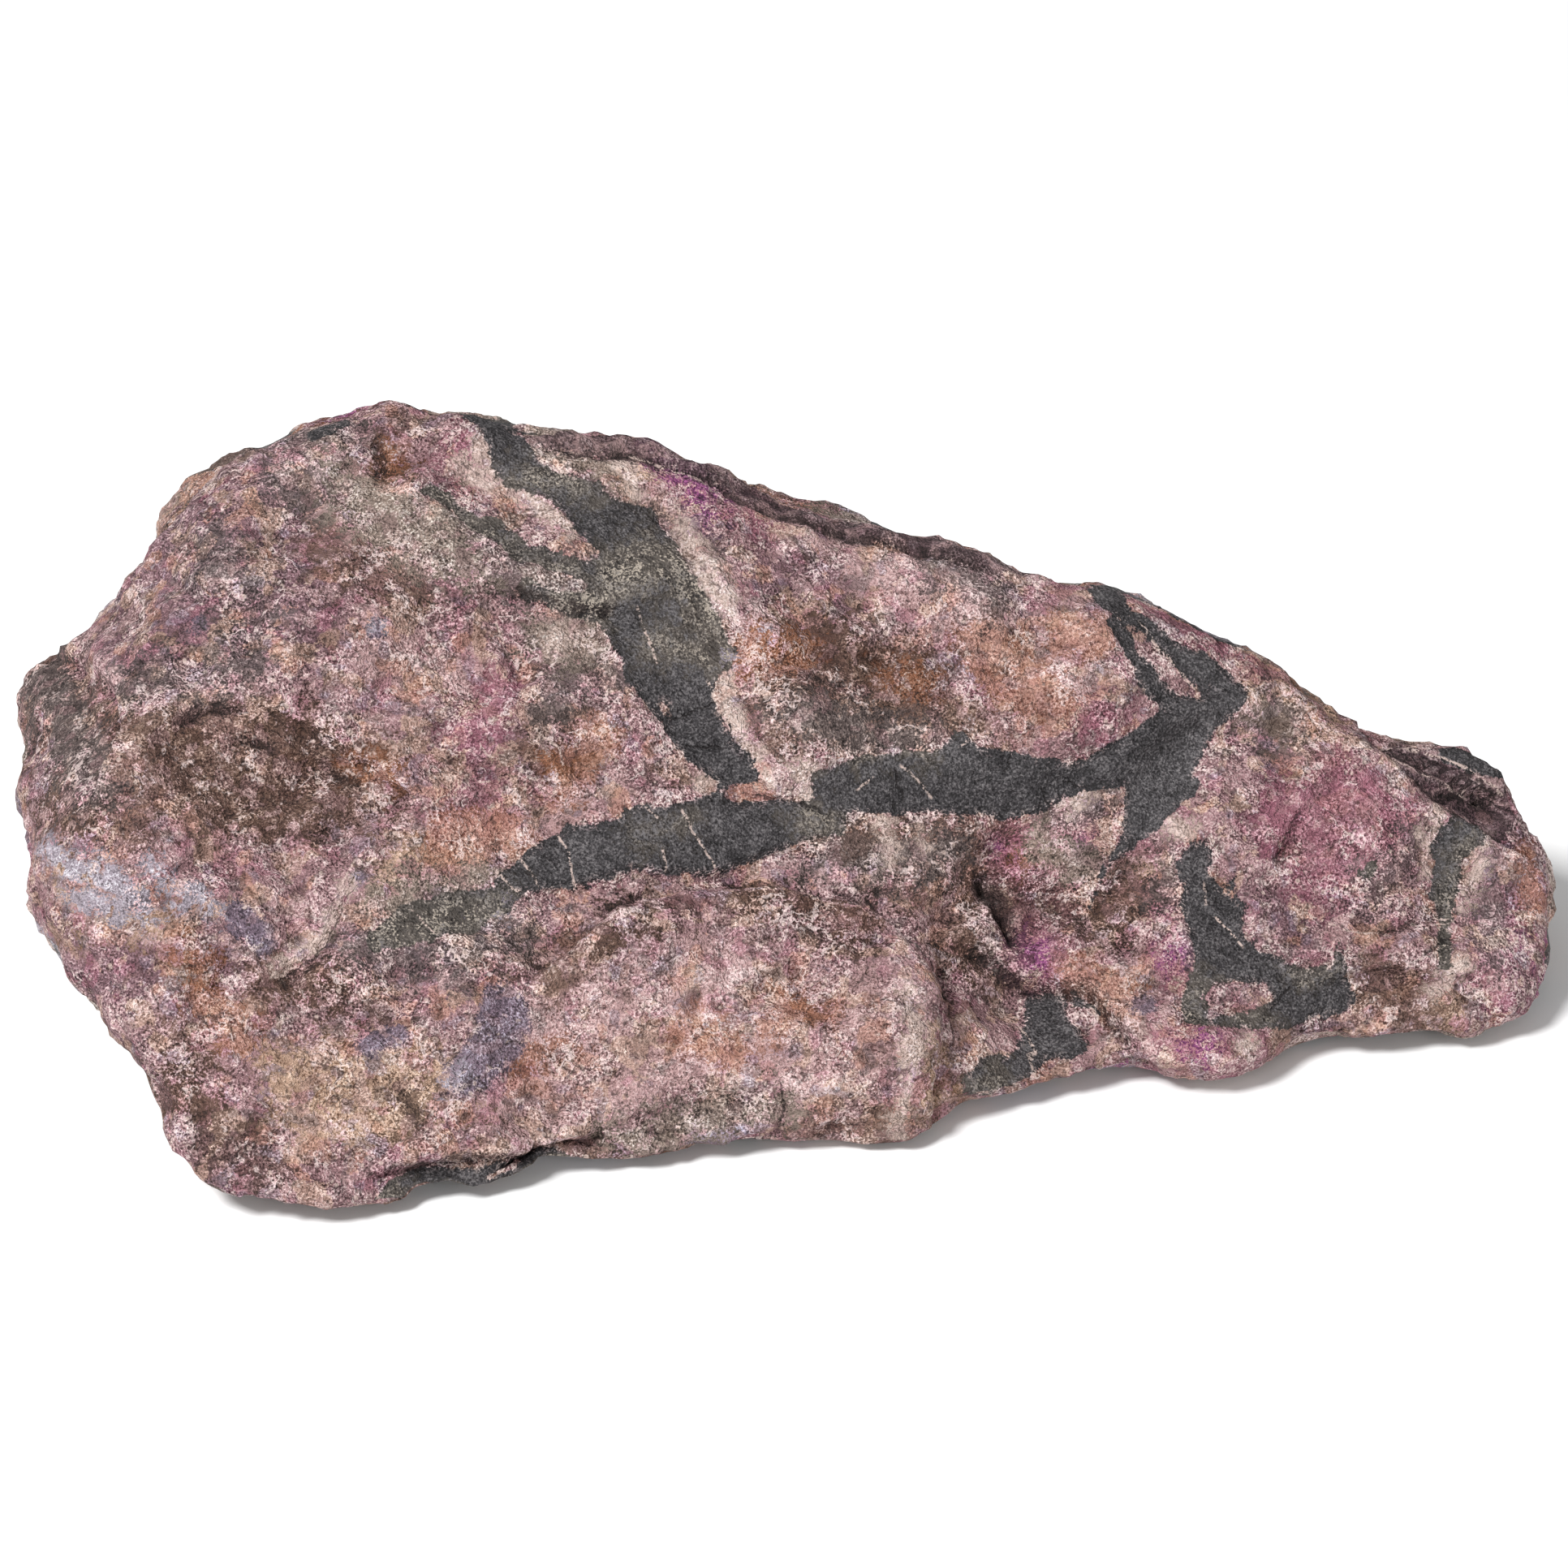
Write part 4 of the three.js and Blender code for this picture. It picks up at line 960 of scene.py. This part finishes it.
def with_blotches(rock, colour, blotches, first):
    """A colour under blotches. Each blotch's number, counted on from the first, shifts its noise."""
    for number, (name, length, least, most) in enumerate(blotches, first):
        blotch = rock.cloud(length, 1.0, 0.6, 100.0 + 9.0 * number) + rock.flake * 0.06
        blotch = blotch + rock.speckle * 0.2 + rock.grain * 0.1
        colour = rock.mixed(rock.spread(blotch, least, least + 0.02) * most, colour, rock.finish_of(name))
    return colour


def with_crease_shade_and_flecks(rock, colour):
    """A colour under painted shade in creases, at the feet of small steps and in dark pits, and under pale
    threads and pale flecks.
    """
    # the shade colour, painted into creases, at the feet of steps and in pits
    dark = FINISHES["shade"][1]
    fold_crease_shade = rock.spread(rock.fold, 0.02, 0.002) * rock.spread(rock.mottle, -0.06, 0.04)
    wrinkle_crease_shade = rock.spread(rock.wrinkle, 0.02, 0.002) * rock.spread(rock.broad, 0.06, -0.06)
    step_foot_shade = rock.spread(rock.riser, 0.8, 0.86) * rock.spread(rock.riser, 0.97, 0.92)
    colour = rock.mixed(fold_crease_shade * 0.6, colour, dark)
    colour = rock.mixed(wrinkle_crease_shade * 0.45, colour, dark)
    colour = rock.mixed(step_foot_shade * rock.spread(rock.mottle, -0.02, 0.05) * 0.45, colour, dark)
    pale_thread = rock.spread(rock.thread, 0.02, 0.006) * rock.spread(rock.mottle, 0.01, 0.08)
    colour = rock.mixed(pale_thread * 0.5, colour, FINISHES["pale"][2])
    specks = rock.dots(0.9, 3.0, 0.22)
    flecks = specks * rock.spread(rock.mottle + rock.speckle * 0.4, 0.0, 0.05)
    colour = rock.mixed(flecks * 0.6, colour, FINISHES["cream"][1])
    # painted shade in pits
    pits = specks * rock.spread(rock.mottle - rock.speckle * 0.4, 0.0, -0.04)
    return rock.mixed(pits * 0.6, colour, dark)


def vein_colour(rock):
    """The veins' black, with its paler and faded parts; the paler part is partly painted sheen."""
    tone = 0.5 + rock.mottle * 0.5 + rock.speckle * 0.7 + rock.grain * 2.3
    tone = tone + rock.streaks * 0.8 + rock.flake * 0.2
    # the paler part, partly painted sheen on the vein's smooth facet
    grey = rock.within("grey", 1.2, 0.7, 0.3)
    black = rock.mixed(grey, rock.finish_of("vein", tone), rock.finish_of("grey", tone))
    faded = rock.within("faded", 2.4, 1.6, 1.2)
    black = rock.mixed(faded * 0.7, black, rock.finish_of("faded"))
    faded_grains = faded * rock.spread(rock.speckle * 0.9 + rock.mottle * 0.6 + rock.grain, 0.05, 0.14)
    return rock.mixed(faded_grains * 0.6, black, FINISHES["faded"][2])


def with_veins(rock, colour, vein):
    """A colour under the veins, with cream crumbs along their edges."""
    near_vein = rock.spread(abs(rock.kept("vein") - 0.2), 0.9, 0.2)
    crumb = rock.spread(rock.speckle * 0.6 + rock.grain * 0.8 + rock.mottle * 0.6, 0.06, 0.13)
    colour = rock.mixed(crumb * near_vein * 0.35, colour, rock.finish_of("cream"))
    return rock.mixed(vein * (1 - crumb * near_vein * 0.3), colour, vein_colour(rock))


def with_layers(rock, colour, layered, leaf):
    colour = rock.mixed(layered * 0.85, colour, rock.finish_of("layered"))
    colour = rock.mixed(layered * rock.spread(leaf, 0.3, 0.95) * 0.45, colour, FINISHES["shade"][0])
    return rock.mixed(layered * rock.spread(leaf, -0.7, -0.95) * 0.3, colour, FINISHES["pale"][1])


def with_crust_and_shade(rock, colour):
    crust = rock.within("crust", 0.3, 1.0, 1.0) * rock.spread(rock.thread + rock.speckle * 0.3, 0.0, 0.05)
    colour = rock.mixed(crust * 0.95, colour, rock.finish_of("crust"))
    return rock.mixed(rock.within("shade", 0.8, 0.3, 0.3) * 0.75, colour, rock.finish_of("shade"))


def fine_height(rock, vein, layered, leaf, crack):
    """How far the relief that is too fine for the mesh stands out, in millimetres."""
    ledges = rock.level + rock.spread(rock.riser, 0.84, 1.0)
    fine = rock.grain * 0.28 + rock.shard * 0.16 + ledges * 0.11 - abs(rock.speckle) * 0.7
    height = rock.mottle * 0.5 + fine * (1 - vein * 0.5) + rock.streaks * 0.3
    height = height + (rock.fold * 0.8 + rock.wrinkle * 0.5) * (1 - vein * 0.6) - crack * 0.1
    return height + leaf * layered * 0.08


def rock_material():
    rock = Rock("broken_sugilite_rock")
    vein = rock.within("vein", 0.2, 0.3, 0.08)
    layered = rock.within("layered", 0.5, 0.4, 0.2) * (1 - vein)
    leaf = rock.leaves()
    crack = rock.thin_line("crack", 1.0, 0.13, 0.04)
    hairline = rock.thin_line("hairline", 0.6, 0.15, 0.05) * rock.spread(rock.grain + rock.speckle, -0.08, 0.04)
    colour = with_patches(rock, rock.finish_of("pink"), GROUNDS)
    colour = with_blotches(rock, colour, BLOTCHES, 0)
    colour = with_patches(rock, colour, PATCHES)
    colour = with_blotches(rock, colour, BARE_SPOTS, len(BLOTCHES))
    colour = with_crease_shade_and_flecks(rock, colour)
    colour = with_veins(rock, colour, vein)
    colour = with_layers(rock, colour, layered, leaf)
    colour = with_crust_and_shade(rock, colour)
    colour = rock.mixed(hairline * 0.7, colour, FINISHES["cream"][1])
    # painted shade in the cracks
    colour = rock.mixed(crack * 0.7, colour, FINISHES["shade"][0])
    height = fine_height(rock, vein, layered, leaf, crack)
    bump = rock.node("ShaderNodeBump", {}, {"Strength": 1.0, "Distance": MM, "Height": height})
    rough = 0.9 - vein * 0.25 + rock.grain * 0.4
    return rock.finish({"Base Color": colour, "Roughness": rough, "Normal": bump, "Specular IOR Level": 0.25})


def floor_material():
    sheet = NodeSheet("pale_studio_floor")
    return sheet.finish({"Base Color": (0.9, 0.9, 0.9, 1), "Roughness": 0.95, "Specular IOR Level": 0.1})


def make_stone():
    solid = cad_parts["sugilite"]
    stone = finely_cut_stone("rough_stone", solid)
    found = lay_out_markings(stone.data)
    roughen(stone.data, found)
    stone.data.shade_smooth()
    stone.data.materials.append(rock_material())
    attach(stone, "root")
    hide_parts("sugilite")
    return stone


def make_floor():
    work = bmesh.new()
    bmesh.ops.create_grid(work, x_segments=1, y_segments=1, size=2.5)
    mesh = bpy.data.meshes.new("floor")
    work.to_mesh(mesh)
    work.free()
    floor = bpy.data.objects.new("floor", mesh)
    bpy.context.scene.collection.objects.link(floor)
    floor.data.materials.append(floor_material())


def make_soft_light(name, place, size, power):
    lamp = bpy.data.lights.new(name, "AREA")
    lamp.shape = "DISK"
    lamp.size = size
    lamp.energy = power
    light = bpy.data.objects.new(name, lamp)
    light.location = place
    light.rotation_euler = (-Vector(place)).to_track_quat("-Z", "Y").to_euler()
    bpy.context.scene.collection.objects.link(light)


def make_camera():
    lens = bpy.data.cameras.new("camera")
    lens.sensor_width = 36.0
    lens.lens = FOCAL / PICTURE * lens.sensor_width
    lens.clip_end = 20.0
    camera = bpy.data.objects.new("camera", lens)
    across = np.cross(AHEAD, UPWARDS)
    turn = Matrix([[across[i], UPWARDS[i], -AHEAD[i]] for i in range(3)])
    camera.matrix_world = Matrix.Translation(Vector(EYE) * MM) @ turn.to_4x4()
    bpy.context.scene.collection.objects.link(camera)
    bpy.context.scene.camera = camera


def make_studio():
    make_floor()
    make_soft_light("key", (-0.5, -0.4, 0.85), 0.32, 13.5)
    make_soft_light("fill", (0.6, -0.9, 0.35), 0.8, 4.0)
    world = bpy.data.worlds.new("studio")
    world.use_nodes = True
    world.node_tree.nodes["Background"].inputs["Color"].default_value = (1, 1, 1, 1)
    world.node_tree.nodes["Background"].inputs["Strength"].default_value = 0.37
    bpy.context.scene.world = world
    bpy.context.scene.view_settings.view_transform = "Standard"


make_stone()
make_camera()
make_studio()
